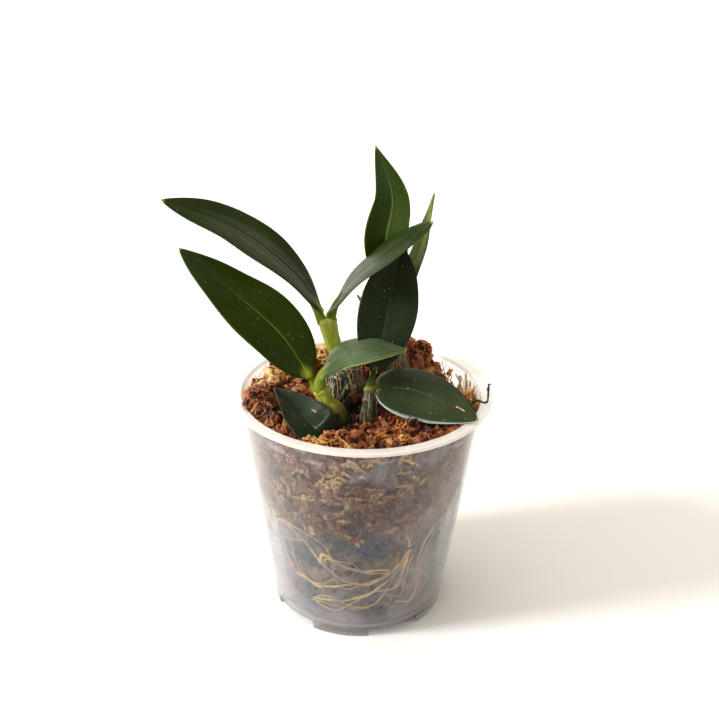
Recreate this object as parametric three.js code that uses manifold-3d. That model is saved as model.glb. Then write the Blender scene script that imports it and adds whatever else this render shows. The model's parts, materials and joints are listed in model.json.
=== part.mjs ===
// Potted dendrobium orchid: a young plant of four short canes and ten leaves, growing in moss
// in a clear plastic pot with its roots showing through the wall.
// Millimetres, +Z up. Working frame: the pot's axis is Z, the table is z = 0, and -Y is the front.

import * as THREE from 'three';
import { mergeVertices } from 'three/addons/utils/BufferGeometryUtils.js';
import Module from 'manifold-3d';

const wasm = await Module();
wasm.setup();

const CLEARANCE = 0.3;

// Pot
const POT_HEIGHT = 82;
const RIM_RADIUS = 45;
const WALL_TOP_RADIUS = 42.1;
const BASE_RADIUS = 31;
const WALL = 0.9;
const FOOT_WALL = 1.6;
const LIP_THICKNESS = 1.1;
const LIP_ROUND = 0.35;
const FLOOR_TOP = 5;
const FLOOR_THICKNESS = 1;
const POT_SIDES = 50;
const FEET = 5;
const FRONT_FOOT_TURN = -11.5;
const NOTCH_WIDTH = 18.5;
const NOTCH_HEIGHT = 3.2;
const NOTCH_REACH = 12;
const DRAIN_RADIUS = 3;
const DRAIN_CIRCLE = 17;
const DRAIN_SIDES = 16;

// Moss bed
const MOSS_SIDES = 40;
const MOSS_RINGS = 11;
const MOSS_FACE_BOTTOM = 46;
const MOSS_DRAWN_IN = 3.3;
const MOSS_EDGE_HEIGHT = 77.5;
const MOSS_LUMPS = 1;
const MOSS_CREASES = 2.2;
const MOSS_FLAKING = 0.7;
const STRANDS = 46;
const STRAND_SINK = 1.6;
const STRAND_LENGTH = [3, 6.5];
const STRAND_GIRTH = [0.85, 1.4];
const STRAND_ARCH = 1.8;
const STRAND_MARGIN = 1.5;
const GOLDEN_TURN = 2.39996;

// Roots
const ROOT_RADIUS = 0.8;
const ROOT_TO_WALL = 1.3;
const ROOT_STEP = 6.5;
const ROOT_TAPER = [1.1, 0.65];

// Each mound of moss: where it is, how high it stands over the edge of the bed, and how wide it is
const MOUNDS = [
  { at: [0, 0], rise: 5, spread: 24 },
  { at: [17, 17], rise: 12, spread: 7.5 },
  { at: [-26, 9], rise: 4.5, spread: 9 },
  { at: [-41, -6], rise: 4, spread: 8 },
  { at: [-12, 17], rise: 4.5, spread: 6 },
  { at: [-11, -31], rise: 1.5, spread: 5 },
  { at: [14, -31], rise: 1.5, spread: 9 },
  { at: [36, 18], rise: -8, spread: 9 },
  { at: [-1, -13], rise: -3.5, spread: 5 },
];

// Canes: the line up the middle, then the radius at each share of the length
const CANES = {
  cane_large: {
    spine: [[-4.4, -0.4, 72.5], [-5.4, -0.2, 82], [-7, 1.4, 90], [-10.2, 3, 98.5], [-12.3, 4.2, 106.5]],
    girth: [[0, 3.2], [0.1, 5.6], [0.27, 6.9], [0.4, 6.2], [0.52, 3.9], [0.58, 2.7], [0.61, 2.95],
      [0.65, 2.45], [0.8, 2.65], [0.93, 3], [0.965, 3.3], [1, 2.6]],
    ribs: 6, ribDepth: 0.05, sides: 12, rings: 20,
  },
  cane_front: {
    spine: [[-6, -13, 73], [-8, -12.6, 78.5], [-12, -12.2, 83.8], [-14.2, -11.8, 88.4]],
    girth: [[0, 2.4], [0.2, 3.4], [0.42, 3.5], [0.68, 2.7], [0.84, 2.5], [0.92, 2.8], [1, 2.1]],
    ribs: 5, ribDepth: 0.03, sides: 10, rings: 12,
  },
  cane_small: {
    spine: [[2.4, -17.6, 72.5], [2.6, -17.4, 78], [2.4, -16.6, 84.5], [2.4, -14.6, 90.3]],
    girth: [[0, 1.8], [0.2, 2.8], [0.45, 3], [0.74, 2.3], [0.88, 1.6], [0.94, 1.85], [1, 1.3]],
    ribs: 5, ribDepth: 0.05, sides: 10, rings: 12,
  },
  cane_hidden: {
    spine: [[12, 8, 72.5], [13, 9.5, 84], [12, 11.3, 96], [11.2, 12, 106]],
    girth: [[0, 2.4], [0.18, 4.4], [0.36, 4.6], [0.58, 2.9], [0.66, 2.5], [0.7, 2.8], [0.74, 2.4],
      [0.95, 2.6], [1, 1.9]],
    ribs: 5, ribDepth: 0.04, sides: 10, rings: 14,
  },
};

// The creeping stem under the moss, as runs between the feet of the canes
const RHIZOME_RADIUS = 2.1;
const RHIZOME_KNOBS = 0.35;
const RHIZOME_RUNS = [
  [[-6, -13, 71], [-6, -7, 70.4], [-4.4, -0.4, 70.8]],
  [[-4.4, -0.4, 70.8], [4, 4, 69.8], [12, 8, 70.8]],
  [[-6, -13, 71], [-2, -16, 70.4], [2.4, -17.6, 70.8]],
];

// Roots that lie against the wall, as [degrees round from the front, height]. A root with a
// start grows from the creeping stem and runs through the moss; the rest branch from a point
// of a root above them.
const ROOTS = [
  { start: RHIZOME_RUNS[0][0], through: [[-22, -14, 62], [-29, -16, 52]],
    wall: [[-66, 39], [-46, 42], [-33, 38.5], [-23, 31.5], [-9, 25], [0, 23.5], [10, 23.5], [22, 28.5],
      [31, 36]] },
  { wall: [[-66, 39], [-76, 33], [-79, 27], [-64, 29], [-52, 34], [-40, 37], [-33, 38.5]] },
  { wall: [[-23, 31.5], [-21, 35], [-7, 30.5], [8, 29.5], [22, 28.5]] },
  { wall: [[-52, 34], [-48, 28], [-44, 22], [-35, 21], [-25, 19.5], [-13, 21.5], [0, 23.5]] },
  { start: RHIZOME_RUNS[2][2], through: [[6, -21, 58], [13, -26, 47]],
    wall: [[31, 36], [23, 27], [9, 19.5], [-9, 15], [-30, 13], [-17, 9.5], [-5, 13.5], [9, 19.5]] },
  { wall: [[31, 36], [28, 27], [23, 20], [9, 19.5]] },
  { start: RHIZOME_RUNS[1][2], through: [[25, 6, 63], [32, 6, 54]],
    wall: [[84, 48], [60, 45], [44, 39], [38, 30], [42, 20], [37, 11], [24, 13]] },
  { start: RHIZOME_RUNS[0][2], through: [[-2, 14, 62], [2, 27, 53]],
    wall: [[172, 44], [158, 36], [150, 26], [160, 17], [178, 15], [196, 21]] },
  { wall: [[158, 36], [140, 35], [122, 28], [108, 30], [96, 24]] },
  { wall: [[172, 44], [200, 38], [216, 29], [232, 27], [246, 20]] },
];

// Leaves. spine runs along the midrib from the cane to the tip, faces are the ways the upper
// side looks at the base, the middle and the tip, and outline is where along the length the
// blade is widest and how sharply it narrows to the tip. sheath is the fleshy stalk that joins
// the blade to its cane, with the radius at its foot.
const LEAVES = {
  leaf_upper_left: {
    spine: [[-14, 4, 108.4], [-24, 5, 122.7], [-43, 8, 136.4], [-66, 6, 146]],
    faces: [[0.8, -0.2, 0.5], [0.5, -0.3, 0.8], [0.4, -0.4, 0.8]],
    width: 19.4, outline: [0.48, 0.83], fold: 7, curl: -3, wave: 0.3,
    sheath: [[-13.6, 4.2, 104.5], [-15.2, 4.3, 108.6], [-17.5, 4.8, 112.6], [-20.2, 5.2, 116]], foot: 1.9,
  },
  leaf_upper_right: {
    spine: [[-11.6, 3.4, 107.6], [-2.9, 1, 121.6], [10.1, 0, 133.4], [22, 2, 141.4]],
    faces: [[-0.8, 0, 0.6], [-0.7, -0.1, 0.7], [-0.5, -0.3, 0.8]],
    width: 16, outline: [0.49, 0.66], fold: 4, curl: -5, wave: 0.2,
    sheath: [[-11, 4.2, 104.8], [-10.1, 3.6, 109], [-8.8, 2.9, 112.6], [-6.8, 2.2, 116]], foot: 1.8,
  },
  leaf_lower_left: {
    spine: [[-17.3, -11, 91.4], [-27.2, -10, 106.9], [-44.5, -5, 120.6], [-60.4, 2, 131]],
    faces: [[0.2, -1, 0.1], [0.3, -0.7, 0.7], [0.4, -0.3, 0.8]],
    width: 20, outline: [0.42, 0.79], fold: 4, curl: -5, wave: 0.5,
    sheath: [[-15.2, -11, 86.4], [-16.5, -10.5, 89.8], [-18.4, -9.9, 92.8], [-21, -9.8, 96.4]], foot: 1.5,
  },
  leaf_folded: {
    spine: [[-13.4, -13.2, 92.4], [-7.4, -14, 100.8], [2.3, -16, 104.8], [14.3, -16, 104.3]],
    faces: [[-0.8, -0.5, 0.4], [-0.4, -0.2, 0.9], [0.1, -0.1, 1]],
    width: 14.8, outline: [0.52, 0.92], fold: 7, curl: -29, wave: 0.2,
    sheath: [[-13.9, -12.3, 87.4], [-13.8, -12.5, 90.8], [-12.4, -12.8, 94.4], [-9.8, -13.3, 98]], foot: 2.3,
  },
  leaf_top: {
    spine: [[9.6, 12, 110], [7.3, 13, 130.3], [9.1, 15, 145.9], [3.1, 14, 162.9]],
    faces: [[0.4, -0.9, 0.1], [-0.1, -1, 0.2], [-0.1, -1, -0.1]],
    width: 16, outline: [0.4, 0.97], fold: 22, curl: 8, wave: 0.3,
    sheath: [[10.6, 12.2, 104.5], [10, 12.4, 109], [9, 12.6, 114], [8.4, 12.8, 118]], foot: 1.8,
  },
  leaf_edge_on: {
    spine: [[12.8, 10.6, 110.9], [18.3, 9, 125.6], [21, 10, 136.1], [22.8, 13, 147.8]],
    faces: [[-0.9, -0.3, 0.3], [-0.9, -0.2, 0.3], [-1, 0, 0.1]],
    width: 13.8, outline: [0.47, 0.82], fold: 11, curl: -1, wave: 0.2,
    sheath: [[11.8, 11.6, 104.5], [12.8, 11.2, 109], [14.4, 10.6, 113], [16, 10, 117]], foot: 1.7,
  },
  leaf_young: {
    spine: [[9.6, 9.2, 98.5], [5.2, 5, 105], [0.8, 1.8, 110.5], [-1.9, 1, 116]],
    faces: [[0.6, -0.2, 0.8], [0.6, -0.2, 0.8], [0.8, -0.2, 0.5]],
    width: 7, outline: [0.4, 0.9], fold: 28, curl: 10, wave: 0.1,
    sheath: [[11.2, 10.4, 96], [9.4, 9, 99], [7.4, 7.2, 102], [6, 5.8, 104.4]], foot: 1.2,
  },
  leaf_dark: {
    spine: [[4.3, -12, 94], [6.9, -9, 108], [9.2, -2, 119.2], [12.5, 6, 131.5]],
    faces: [[-0.2, -1, 0.2], [0.1, -0.8, 0.5], [0.4, -0.8, 0.4]],
    width: 19.7, outline: [0.49, 0.73], fold: 13, curl: 1, wave: 0.3,
    sheath: [[2.3, -14.1, 89], [3.5, -12.8, 92.4], [4.4, -11.6, 95.6], [5, -10.8, 99]], foot: 1.4,
  },
  leaf_rim: {
    spine: [[4.4, -14.2, 89.6], [16.2, -14, 88.8], [25.8, -18, 86.9], [37.6, -24.6, 83.6]],
    faces: [[-0.1, -0.5, 0.9], [-0.1, -0.5, 0.8], [-0.1, -0.6, 0.8]],
    width: 20, outline: [0.35, 0.84], fold: 3, curl: -30, wave: 0.2,
    sheath: [[2.6, -15.4, 89.2], [4.6, -14.8, 90], [7, -14, 89.6], [10, -13.6, 88.9]], foot: 1.1,
  },
  leaf_on_moss: {
    spine: [[-6.4, -26, 76.8], [-14.2, -26, 79.3], [-21.1, -17, 81.3], [-29.5, -6, 84.6]],
    faces: [[0, -0.8, 0.6], [0.1, -0.2, 1], [0.4, 0.1, 0.9]],
    width: 16.7, outline: [0.36, 0.66], fold: 23, curl: 5, wave: 0.2,
    sheath: [[-6.4, -13.4, 75.4], [-5.6, -19, 74.8], [-7.4, -24.6, 76], [-12, -26.2, 78]], foot: 1.6,
  },
};
const LEAF_STEPS = 12;
const LEAF_COLUMNS = 6;
const BLADE_THICKNESS = 0.8;
const EDGE_THICKNESS = 0.62;
const STALK_THICKNESS = 1.9;
const STALK_WIDTH = 3.4;
const STALK_SHARE = 0.16;
const KEEL = 0.35;
const SHEATH_END = 0.75;
const TIP_WIDTH = 0.7;
const RIPPLES = 14;

// A dead twig that lies from the moss over the rim and turns up
const TWIG = [[36.5, -8, 79.5], [38.5, -9.6, 82.9], [41.8, -11.2, 83.1], [42.8, -7, 84.5], [43, -5, 87]];
const TWIG_RADIUS = 0.5;

const vec = (p) => new THREE.Vector3(...p);
const radians = THREE.MathUtils.degToRad;
const { lerp, smoothstep } = THREE.MathUtils;

const outerRadius = (z) => lerp(BASE_RADIUS, WALL_TOP_RADIUS, z / POT_HEIGHT);
const innerRadius = (z) => outerRadius(z) - WALL;

// Seeded random numbers from 0 to 1, so that the moss grows the same way each time
function randomFrom(seed) {
  let state = seed;
  return () => {
    state = (state * 1664525 + 1013904223) % 4294967296;
    return state / 4294967296;
  };
}

// A closed mesh as a solid that can be joined and cut
function solidOf(geometry) {
  const bare = geometry.clone();
  bare.deleteAttribute('normal');
  bare.deleteAttribute('uv');
  const merged = mergeVertices(bare, 1e-4);
  const corners = merged.index.array;
  const triangles = [];
  for (let i = 0; i < corners.length; i += 3) {
    const [a, b, c] = corners.slice(i, i + 3);
    if (a !== b && b !== c && c !== a) triangles.push(a, b, c);
  }
  return new wasm.Manifold(new wasm.Mesh({
    numProp: 3,
    vertProperties: merged.attributes.position.array,
    triVerts: new Uint32Array(triangles),
  }));
}

// The solid's largest body as a mesh: scraps that a cut leaves loose are dropped
function geometryOf(solid) {
  const bodies = solid.decompose().sort((a, b) => b.volume() - a.volume());
  const mesh = bodies[0].getMesh();
  const geometry = new THREE.BufferGeometry();
  geometry.setAttribute('position', new THREE.BufferAttribute(mesh.vertProperties, 3));
  geometry.setIndex(new THREE.BufferAttribute(mesh.triVerts, 1));
  return geometry;
}

const joined = (solids) => solids.reduce((all, solid) => all.add(solid));
const cutBy = (solid, cutters) => cutters.reduce((rest, cutter) => rest.subtract(cutter), solid);

// A closed skin over rings of points. A flat ring holds its upper side's points, then its
// lower side's points backwards, and its two sides and two ends are split alike.
function skin(rings, flat = false) {
  const count = rings[0].length;
  const half = count / 2;
  const points = rings.flat();
  const index = [];
  const quad = (a, b, c, d, other) => index.push(...(other ? [a, b, d, b, c, d] : [a, b, c, a, c, d]));
  for (let i = 0; i + 1 < rings.length; i++) {
    for (let j = 0; j < count; j++) {
      const next = (j + 1) % count;
      const low = i * count;
      quad(low + j, low + next, low + count + next, low + count + j, flat && j >= half);
    }
  }
  const last = (rings.length - 1) * count;
  if (flat) {
    for (let j = 0; j + 1 < half; j++) {
      quad(count - 1 - j, count - 2 - j, j + 1, j);
      quad(last + j, last + j + 1, last + count - 2 - j, last + count - 1 - j);
    }
  } else {
    for (const [start, ring, turned] of [[0, rings[0], true], [last, rings.at(-1), false]]) {
      const middle = ring.reduce((sum, p) => sum.add(p), new THREE.Vector3()).divideScalar(count);
      points.push(middle);
      for (let j = 0; j < count; j++) {
        const pair = [start + j, start + (j + 1) % count];
        index.push(...(turned ? pair.reverse() : pair), points.length - 1);
      }
    }
  }
  const geometry = new THREE.BufferGeometry().setFromPoints(points);
  geometry.setIndex(index);
  return geometry;
}

// Rings of points along a curve, seen from its end as anticlockwise loops
function tube(spine, radiusAt, { sides, rings, ribs = 0, ribDepth = 0 }) {
  const curve = new THREE.CatmullRomCurve3(spine.map(vec), false, 'catmullrom', 0.5);
  const loops = [];
  let across = new THREE.Vector3(1, 0, 0.1);
  for (let i = 0; i <= rings; i++) {
    const t = i / rings;
    const middle = curve.getPointAt(t);
    const along = curve.getTangentAt(t);
    across = across.clone().addScaledVector(along, -across.dot(along)).normalize();
    const other = new THREE.Vector3().crossVectors(along, across);
    loops.push(Array.from({ length: sides }, (_, j) => {
      const angle = (j / sides) * 2 * Math.PI;
      const radius = radiusAt(t) * (1 + ribDepth * Math.cos(ribs * angle));
      return middle.clone()
        .addScaledVector(across, radius * Math.cos(angle))
        .addScaledVector(other, radius * Math.sin(angle));
    }));
  }
  return skin(loops);
}

// The value at t on a smooth line through [t, value] pairs
function profileAt(pairs, t) {
  const i = Math.max(1, pairs.findIndex(([at]) => at >= t));
  const [[from, start], [to, end]] = [pairs[i - 1], pairs[i]];
  return lerp(start, end, smoothstep(t, from, to));
}

// Cup with a thin lip, a raised floor with drain holes, and a skirt cut into five feet
function potGeometry() {
  const top = POT_HEIGHT;
  const lipUnder = top - LIP_THICKNESS;
  const floorUnder = FLOOR_TOP - FLOOR_THICKNESS;
  const profile = [
    [0, floorUnder], [BASE_RADIUS - FOOT_WALL, floorUnder], [BASE_RADIUS - FOOT_WALL, 0],
    [BASE_RADIUS, 0], [outerRadius(lipUnder), lipUnder],
    [RIM_RADIUS - LIP_ROUND, lipUnder], [RIM_RADIUS, lipUnder + LIP_ROUND],
    [RIM_RADIUS, top - LIP_ROUND], [RIM_RADIUS - LIP_ROUND, top],
    [innerRadius(top), top], [innerRadius(FLOOR_TOP), FLOOR_TOP], [0, FLOOR_TOP],
  ].map(([r, z]) => new THREE.Vector2(r, z));
  const cup = solidOf(new THREE.LatheGeometry(profile, POT_SIDES).rotateX(Math.PI / 2));

  const drainAt = (reach) =>
    new THREE.CylinderGeometry(DRAIN_RADIUS, DRAIN_RADIUS, 4 * FLOOR_THICKNESS, DRAIN_SIDES)
      .rotateX(Math.PI / 2).translate(reach, 0, FLOOR_TOP);
  const cutters = [];
  for (let i = 0; i < FEET; i++) {
    const foot = -90 + FRONT_FOOT_TURN + (i * 360) / FEET;
    const notch = radians(foot + 180 / FEET);
    const block = new THREE.BoxGeometry(NOTCH_REACH, NOTCH_WIDTH, 2 * NOTCH_HEIGHT);
    cutters.push(block.translate(BASE_RADIUS, 0, 0).rotateZ(notch));
    cutters.push(drainAt(DRAIN_CIRCLE).rotateZ(radians(foot)));
  }
  cutters.push(drainAt(0));
  return geometryOf(cutBy(cup, cutters.map(solidOf)));
}

// Height of the moss at a place: its mounds, roughened by three crossing ripples
function mossHeight(x, y) {
  const mounds = MOUNDS.reduce((sum, { at, rise, spread }) =>
    sum + rise * Math.exp(-((x - at[0]) ** 2 + (y - at[1]) ** 2) / (2 * spread ** 2)), MOSS_EDGE_HEIGHT);
  const coarse = Math.sin(0.62 * x + 1.3 * Math.sin(0.41 * y)) * Math.cos(0.55 * y - 0.2 * x);
  const fine = Math.abs(Math.sin(1.15 * x + 0.7 * y)) * Math.abs(Math.cos(0.8 * x - 1.3 * y));
  return mounds + MOSS_LUMPS * coarse + MOSS_CREASES * (fine - 0.3);
}

// Strands of moss that stand out of the bed, thin at the tip and sunk in at the foot
function mossStrands() {
  const random = randomFrom(11);
  const strands = [];
  for (let i = 0; i < STRANDS; i++) {
    const reach = (innerRadius(POT_HEIGHT) - 2 * STRAND_MARGIN) * Math.sqrt((i + 0.5) / STRANDS);
    const turn = i * GOLDEN_TURN + 0.5 * random();
    const [x, y] = [reach * Math.cos(turn), reach * Math.sin(turn)];
    const lean = random() * 2 * Math.PI;
    const length = lerp(...STRAND_LENGTH, random());
    const foot = new THREE.Vector3(x, y, mossHeight(x, y) - STRAND_SINK);
    const out = new THREE.Vector3(Math.cos(lean), Math.sin(lean), 0);
    const spine = [0, 0.5, 1].map((t) => {
      const p = foot.clone().addScaledVector(out, length * t);
      p.z += STRAND_SINK + STRAND_ARCH * Math.sin(2.6 * t) * (0.6 + 0.6 * random());
      return p;
    });
    spine[0].z -= STRAND_SINK;
    if (spine.some((p) => Math.hypot(p.x, p.y) > innerRadius(p.z) - STRAND_MARGIN)) continue;
    const girth = lerp(...STRAND_GIRTH, random());
    strands.push(solidOf(tube(spine.map((p) => p.toArray()), (t) => girth * (1.15 - 0.75 * t),
      { sides: 3, rings: 3 })));
  }
  return strands;
}

// Moss pressed against the upper wall and drawn in from the lower one, with a rugged top
function mossBed() {
  const drawnIn = [
    [42, MOSS_DRAWN_IN - 0.6], [32, MOSS_DRAWN_IN + 0.2], [22, MOSS_DRAWN_IN - 0.2],
    [11, MOSS_DRAWN_IN], [FLOOR_TOP + CLEARANCE, MOSS_DRAWN_IN + 1.2],
  ];
  const random = randomFrom(7);
  const ringOf = (place) => Array.from({ length: MOSS_SIDES }, (_, j) => {
    const turn = (j / MOSS_SIDES) * 2 * Math.PI;
    const [radius, z] = place(turn);
    return new THREE.Vector3(radius * Math.cos(turn), radius * Math.sin(turn), z);
  });
  const heightAt = (radius, turn) => mossHeight(radius * Math.cos(turn), radius * Math.sin(turn));
  const edgeAt = (turn) => heightAt(innerRadius(POT_HEIGHT), turn);

  const rings = drawnIn.toReversed().map(([z, inward]) =>
    ringOf(() => [innerRadius(z) - CLEARANCE - inward - MOSS_FLAKING * random(), z]));
  for (const share of [0, 0.2, 0.4, 0.6, 0.8, 1]) {
    rings.push(ringOf((turn) => {
      const z = lerp(MOSS_FACE_BOTTOM, edgeAt(turn) - 1.5, share);
      return [innerRadius(z) - CLEARANCE - MOSS_FLAKING * random(), z];
    }));
  }
  for (let i = 0; i < MOSS_RINGS; i++) {
    rings.push(ringOf((turn) => {
      const radius = (innerRadius(edgeAt(turn)) - CLEARANCE - 0.8) * (1 - i / MOSS_RINGS) ** 0.9;
      return [radius, heightAt(radius, turn)];
    }));
  }
  return joined([solidOf(skin(rings)), ...mossStrands()]);
}

// Swollen cane with node rings, ribbed along its length
function caneSolid({ spine, girth, ...shape }, grow = 0) {
  return solidOf(tube(spine, (t) => profileAt(girth, t) + grow, shape));
}

function rhizomeSolid(grow = 0) {
  const radiusAt = (t) => RHIZOME_RADIUS + RHIZOME_KNOBS * Math.cos(6 * Math.PI * t) + grow;
  return joined(RHIZOME_RUNS.map((run) => solidOf(tube(run, radiusAt, { sides: 6, rings: 5 }))));
}

// A place just inside the wall, from degrees round from the front and a height
function besideWall([degrees, z]) {
  const turn = radians(degrees - 90);
  const radius = innerRadius(z) - ROOT_TO_WALL;
  return [radius * Math.cos(turn), radius * Math.sin(turn), z];
}

function rootSolids(grow = 0) {
  return ROOTS.map(({ start, through, wall }) => {
    const route = [...(start ? [start, ...through] : []), ...wall.map(besideWall)];
    const length = new THREE.CatmullRomCurve3(route.map(vec)).getLength();
    return solidOf(tube(route, (t) => ROOT_RADIUS * lerp(...ROOT_TAPER, t) + grow,
      { sides: 5, rings: Math.round(length / ROOT_STEP) }));
  });
}

// Thin arched blade, folded along its midrib, with a keel below, a thick stalk and waved edges
function leafSolid(leaf, grow = 0) {
  const curve = new THREE.CatmullRomCurve3(leaf.spine.map(vec), false, 'catmullrom', 0.5);
  const facing = new THREE.CatmullRomCurve3(leaf.faces.map(vec), false, 'catmullrom', 0.5);
  const [widest, sharpness] = leaf.outline;
  const fullness = (sharpness * widest) / (1 - widest);
  const rings = [];
  for (let i = 0; i <= LEAF_STEPS; i++) {
    const t = i / LEAF_STEPS;
    const along = curve.getTangentAt(t);
    const middle = curve.getPointAt(t);
    if (i === 0) middle.addScaledVector(along, -grow);
    if (i === LEAF_STEPS) middle.addScaledVector(along, grow);
    const up = facing.getPoint(t);
    up.addScaledVector(along, -up.dot(along)).normalize();
    const across = new THREE.Vector3().crossVectors(along, up);
    const blade = (leaf.width / 2) * (t / widest) ** fullness * ((1 - t) / (1 - widest)) ** sharpness;
    const stalk = (STALK_WIDTH / 2) * Math.sqrt(1 - t);
    const half = Math.max(blade, stalk, TIP_WIDTH / 2) + grow;
    const body = lerp(STALK_THICKNESS, BLADE_THICKNESS, smoothstep(t, 0, STALK_SHARE));
    const upper = [];
    const lower = [];
    for (let j = 0; j <= LEAF_COLUMNS; j++) {
      const s = (2 * j) / LEAF_COLUMNS - 1;
      const share = Math.abs(s);
      const lift = radians(leaf.fold + (leaf.curl * share) / 2);
      const slope = radians(leaf.fold + leaf.curl * share) * Math.sign(s);
      const ripple = leaf.wave * share ** 2 * Math.sin(RIPPLES * t + 2 * Math.sign(s)) * Math.sin(Math.PI * t);
      const surface = middle.clone()
        .addScaledVector(across, s * half * Math.cos(lift))
        .addScaledVector(up, share * half * Math.sin(lift) + ripple);
      const normal = up.clone().multiplyScalar(Math.cos(slope)).addScaledVector(across, -Math.sin(slope));
      const thickness = lerp(body, Math.min(body, EDGE_THICKNESS), share) / 2 + grow;
      const keel = s === 0 ? KEEL * (1 - t) : 0;
      upper.push(surface.clone().addScaledVector(normal, thickness));
      lower.push(surface.clone().addScaledVector(normal, -thickness - keel));
    }
    rings.push([...upper, ...lower.reverse()]);
  }
  const sheath = tube(leaf.sheath, (t) => lerp(leaf.foot, SHEATH_END, t) + grow, { sides: 6, rings: 4 });
  return solidOf(skin(rings, true)).add(solidOf(sheath));
}

const twigSolid = (grow = 0) => solidOf(tube(TWIG, () => TWIG_RADIUS + grow, { sides: 5, rings: 9 }));

const MATERIALS = {
  pot: { color: '#e6e1dc', roughness: 0.25, transparent: true, opacity: 0.45 },
  moss: { color: '#8a5a34', roughness: 0.95 },
  root: { color: '#c9a468', roughness: 0.7 },
  bulb: { color: '#3c4a26', roughness: 0.5 },
  shoot: { color: '#7f8632', roughness: 0.45 },
  leaf: { color: '#2c3a1a', roughness: 0.35 },
  twig: { color: '#2a211c', roughness: 0.9 },
};

const orchid = new THREE.Group();

function place(name, geometry, finish) {
  const material = new THREE.MeshStandardMaterial({ metalness: 0, ...MATERIALS[finish] });
  const mesh = new THREE.Mesh(geometry, material);
  mesh.name = name;
  orchid.add(mesh);
}

place('pot', potGeometry(), 'pot');

const rhizome = rhizomeSolid();
const rhizomeRoom = rhizomeSolid(CLEARANCE);
const rootsRoom = joined(rootSolids(CLEARANCE));
place('rhizome_and_roots', geometryOf(joined([rhizome, ...rootSolids()])), 'root');

const caneRoom = {};
for (const [name, cane] of Object.entries(CANES)) {
  caneRoom[name] = caneSolid(cane, CLEARANCE);
  const finish = name === 'cane_front' ? 'shoot' : 'bulb';
  place(name, geometryOf(cutBy(caneSolid(cane), [rhizomeRoom, rootsRoom])), finish);
}

// Each leaf is cut back to the canes and to the leaves placed before it
const leafRoom = [];
for (const [name, leaf] of Object.entries(LEAVES)) {
  place(name, geometryOf(cutBy(leafSolid(leaf), [...Object.values(caneRoom), ...leafRoom])), 'leaf');
  leafRoom.push(leafSolid(leaf, CLEARANCE));
}

place('twig', geometryOf(twigSolid()), 'twig');

const mossHoles = [rhizomeRoom, rootsRoom, ...Object.values(caneRoom), ...leafRoom, twigSolid(CLEARANCE)];
place('moss', geometryOf(cutBy(mossBed(), mossHoles)), 'moss');

// Origin: the middle of the whole object's box, on the table
const middle = new THREE.Box3().setFromObject(orchid).getCenter(new THREE.Vector3());
orchid.position.set(-middle.x, -middle.y, 0);

export default orchid;
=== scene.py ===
# %% [markdown]
# # Potted dendrobium orchid
# A young dendrobium stands in moss in a small clear plastic pot. Short swollen canes carry pairs of
# leathery, pointed leaves, and tan roots show through the milky wall. This notebook gives the packed
# solids their looks. Every piece is built in millimetres around the pot's axis, with the table at
# height 0 and the front at -Y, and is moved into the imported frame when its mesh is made.

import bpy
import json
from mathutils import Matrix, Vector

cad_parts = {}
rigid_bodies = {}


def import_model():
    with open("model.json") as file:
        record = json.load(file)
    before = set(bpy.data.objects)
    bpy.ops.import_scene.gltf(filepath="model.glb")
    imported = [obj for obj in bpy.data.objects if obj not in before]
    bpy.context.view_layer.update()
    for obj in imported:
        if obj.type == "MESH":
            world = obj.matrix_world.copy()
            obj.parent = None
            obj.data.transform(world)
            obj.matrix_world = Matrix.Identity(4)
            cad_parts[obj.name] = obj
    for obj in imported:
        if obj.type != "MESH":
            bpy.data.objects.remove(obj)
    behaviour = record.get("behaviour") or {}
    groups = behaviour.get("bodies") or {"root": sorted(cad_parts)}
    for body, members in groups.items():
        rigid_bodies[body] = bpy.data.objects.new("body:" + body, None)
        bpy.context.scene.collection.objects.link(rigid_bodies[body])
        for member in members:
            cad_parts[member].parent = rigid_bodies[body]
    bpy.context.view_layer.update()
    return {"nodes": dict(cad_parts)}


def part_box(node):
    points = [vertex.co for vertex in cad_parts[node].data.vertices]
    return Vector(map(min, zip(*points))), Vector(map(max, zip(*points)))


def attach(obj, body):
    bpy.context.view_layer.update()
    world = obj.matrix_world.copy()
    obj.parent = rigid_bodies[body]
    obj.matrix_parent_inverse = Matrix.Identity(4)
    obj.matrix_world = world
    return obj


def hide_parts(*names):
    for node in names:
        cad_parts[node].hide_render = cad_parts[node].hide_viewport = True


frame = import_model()
print("CAD nodes:", sorted(frame["nodes"]))

# %% Modules, units and the pot's axis
import json
import math
import bpy
import bmesh
import numpy as np
from mathutils import Matrix, Vector, noise
from mathutils.bvhtree import BVHTree
from mathutils.kdtree import KDTree

MM = 0.001
pot_low, pot_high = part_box("pot")
AXIS = np.array([(pot_low.x + pot_high.x) / 2, (pot_low.y + pot_high.y) / 2, 0])
print("pot axis at", AXIS.round(5), "m")


def add_object(name, data):
    made = bpy.data.objects.new(name, data)
    bpy.context.scene.collection.objects.link(made)
    return made


# %% [markdown]
# ## Camera
# The camera comes first, so that each later step can be judged from the photo's view. It looks
# down on the pot by 25 degrees from about a third of a metre away, and is turned by almost one
# degree about its own line of sight, as a hand-held camera is.

# %% Camera at the photo's place
PHOTO_PIXELS = 719
FOCAL_PIXELS = 1000
SENSOR = 36
PITCH = math.radians(25.18)
ROLL = math.radians(0.97)
CAMERA_AT = np.array([-0.89, -308.05, 237.8])

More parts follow.
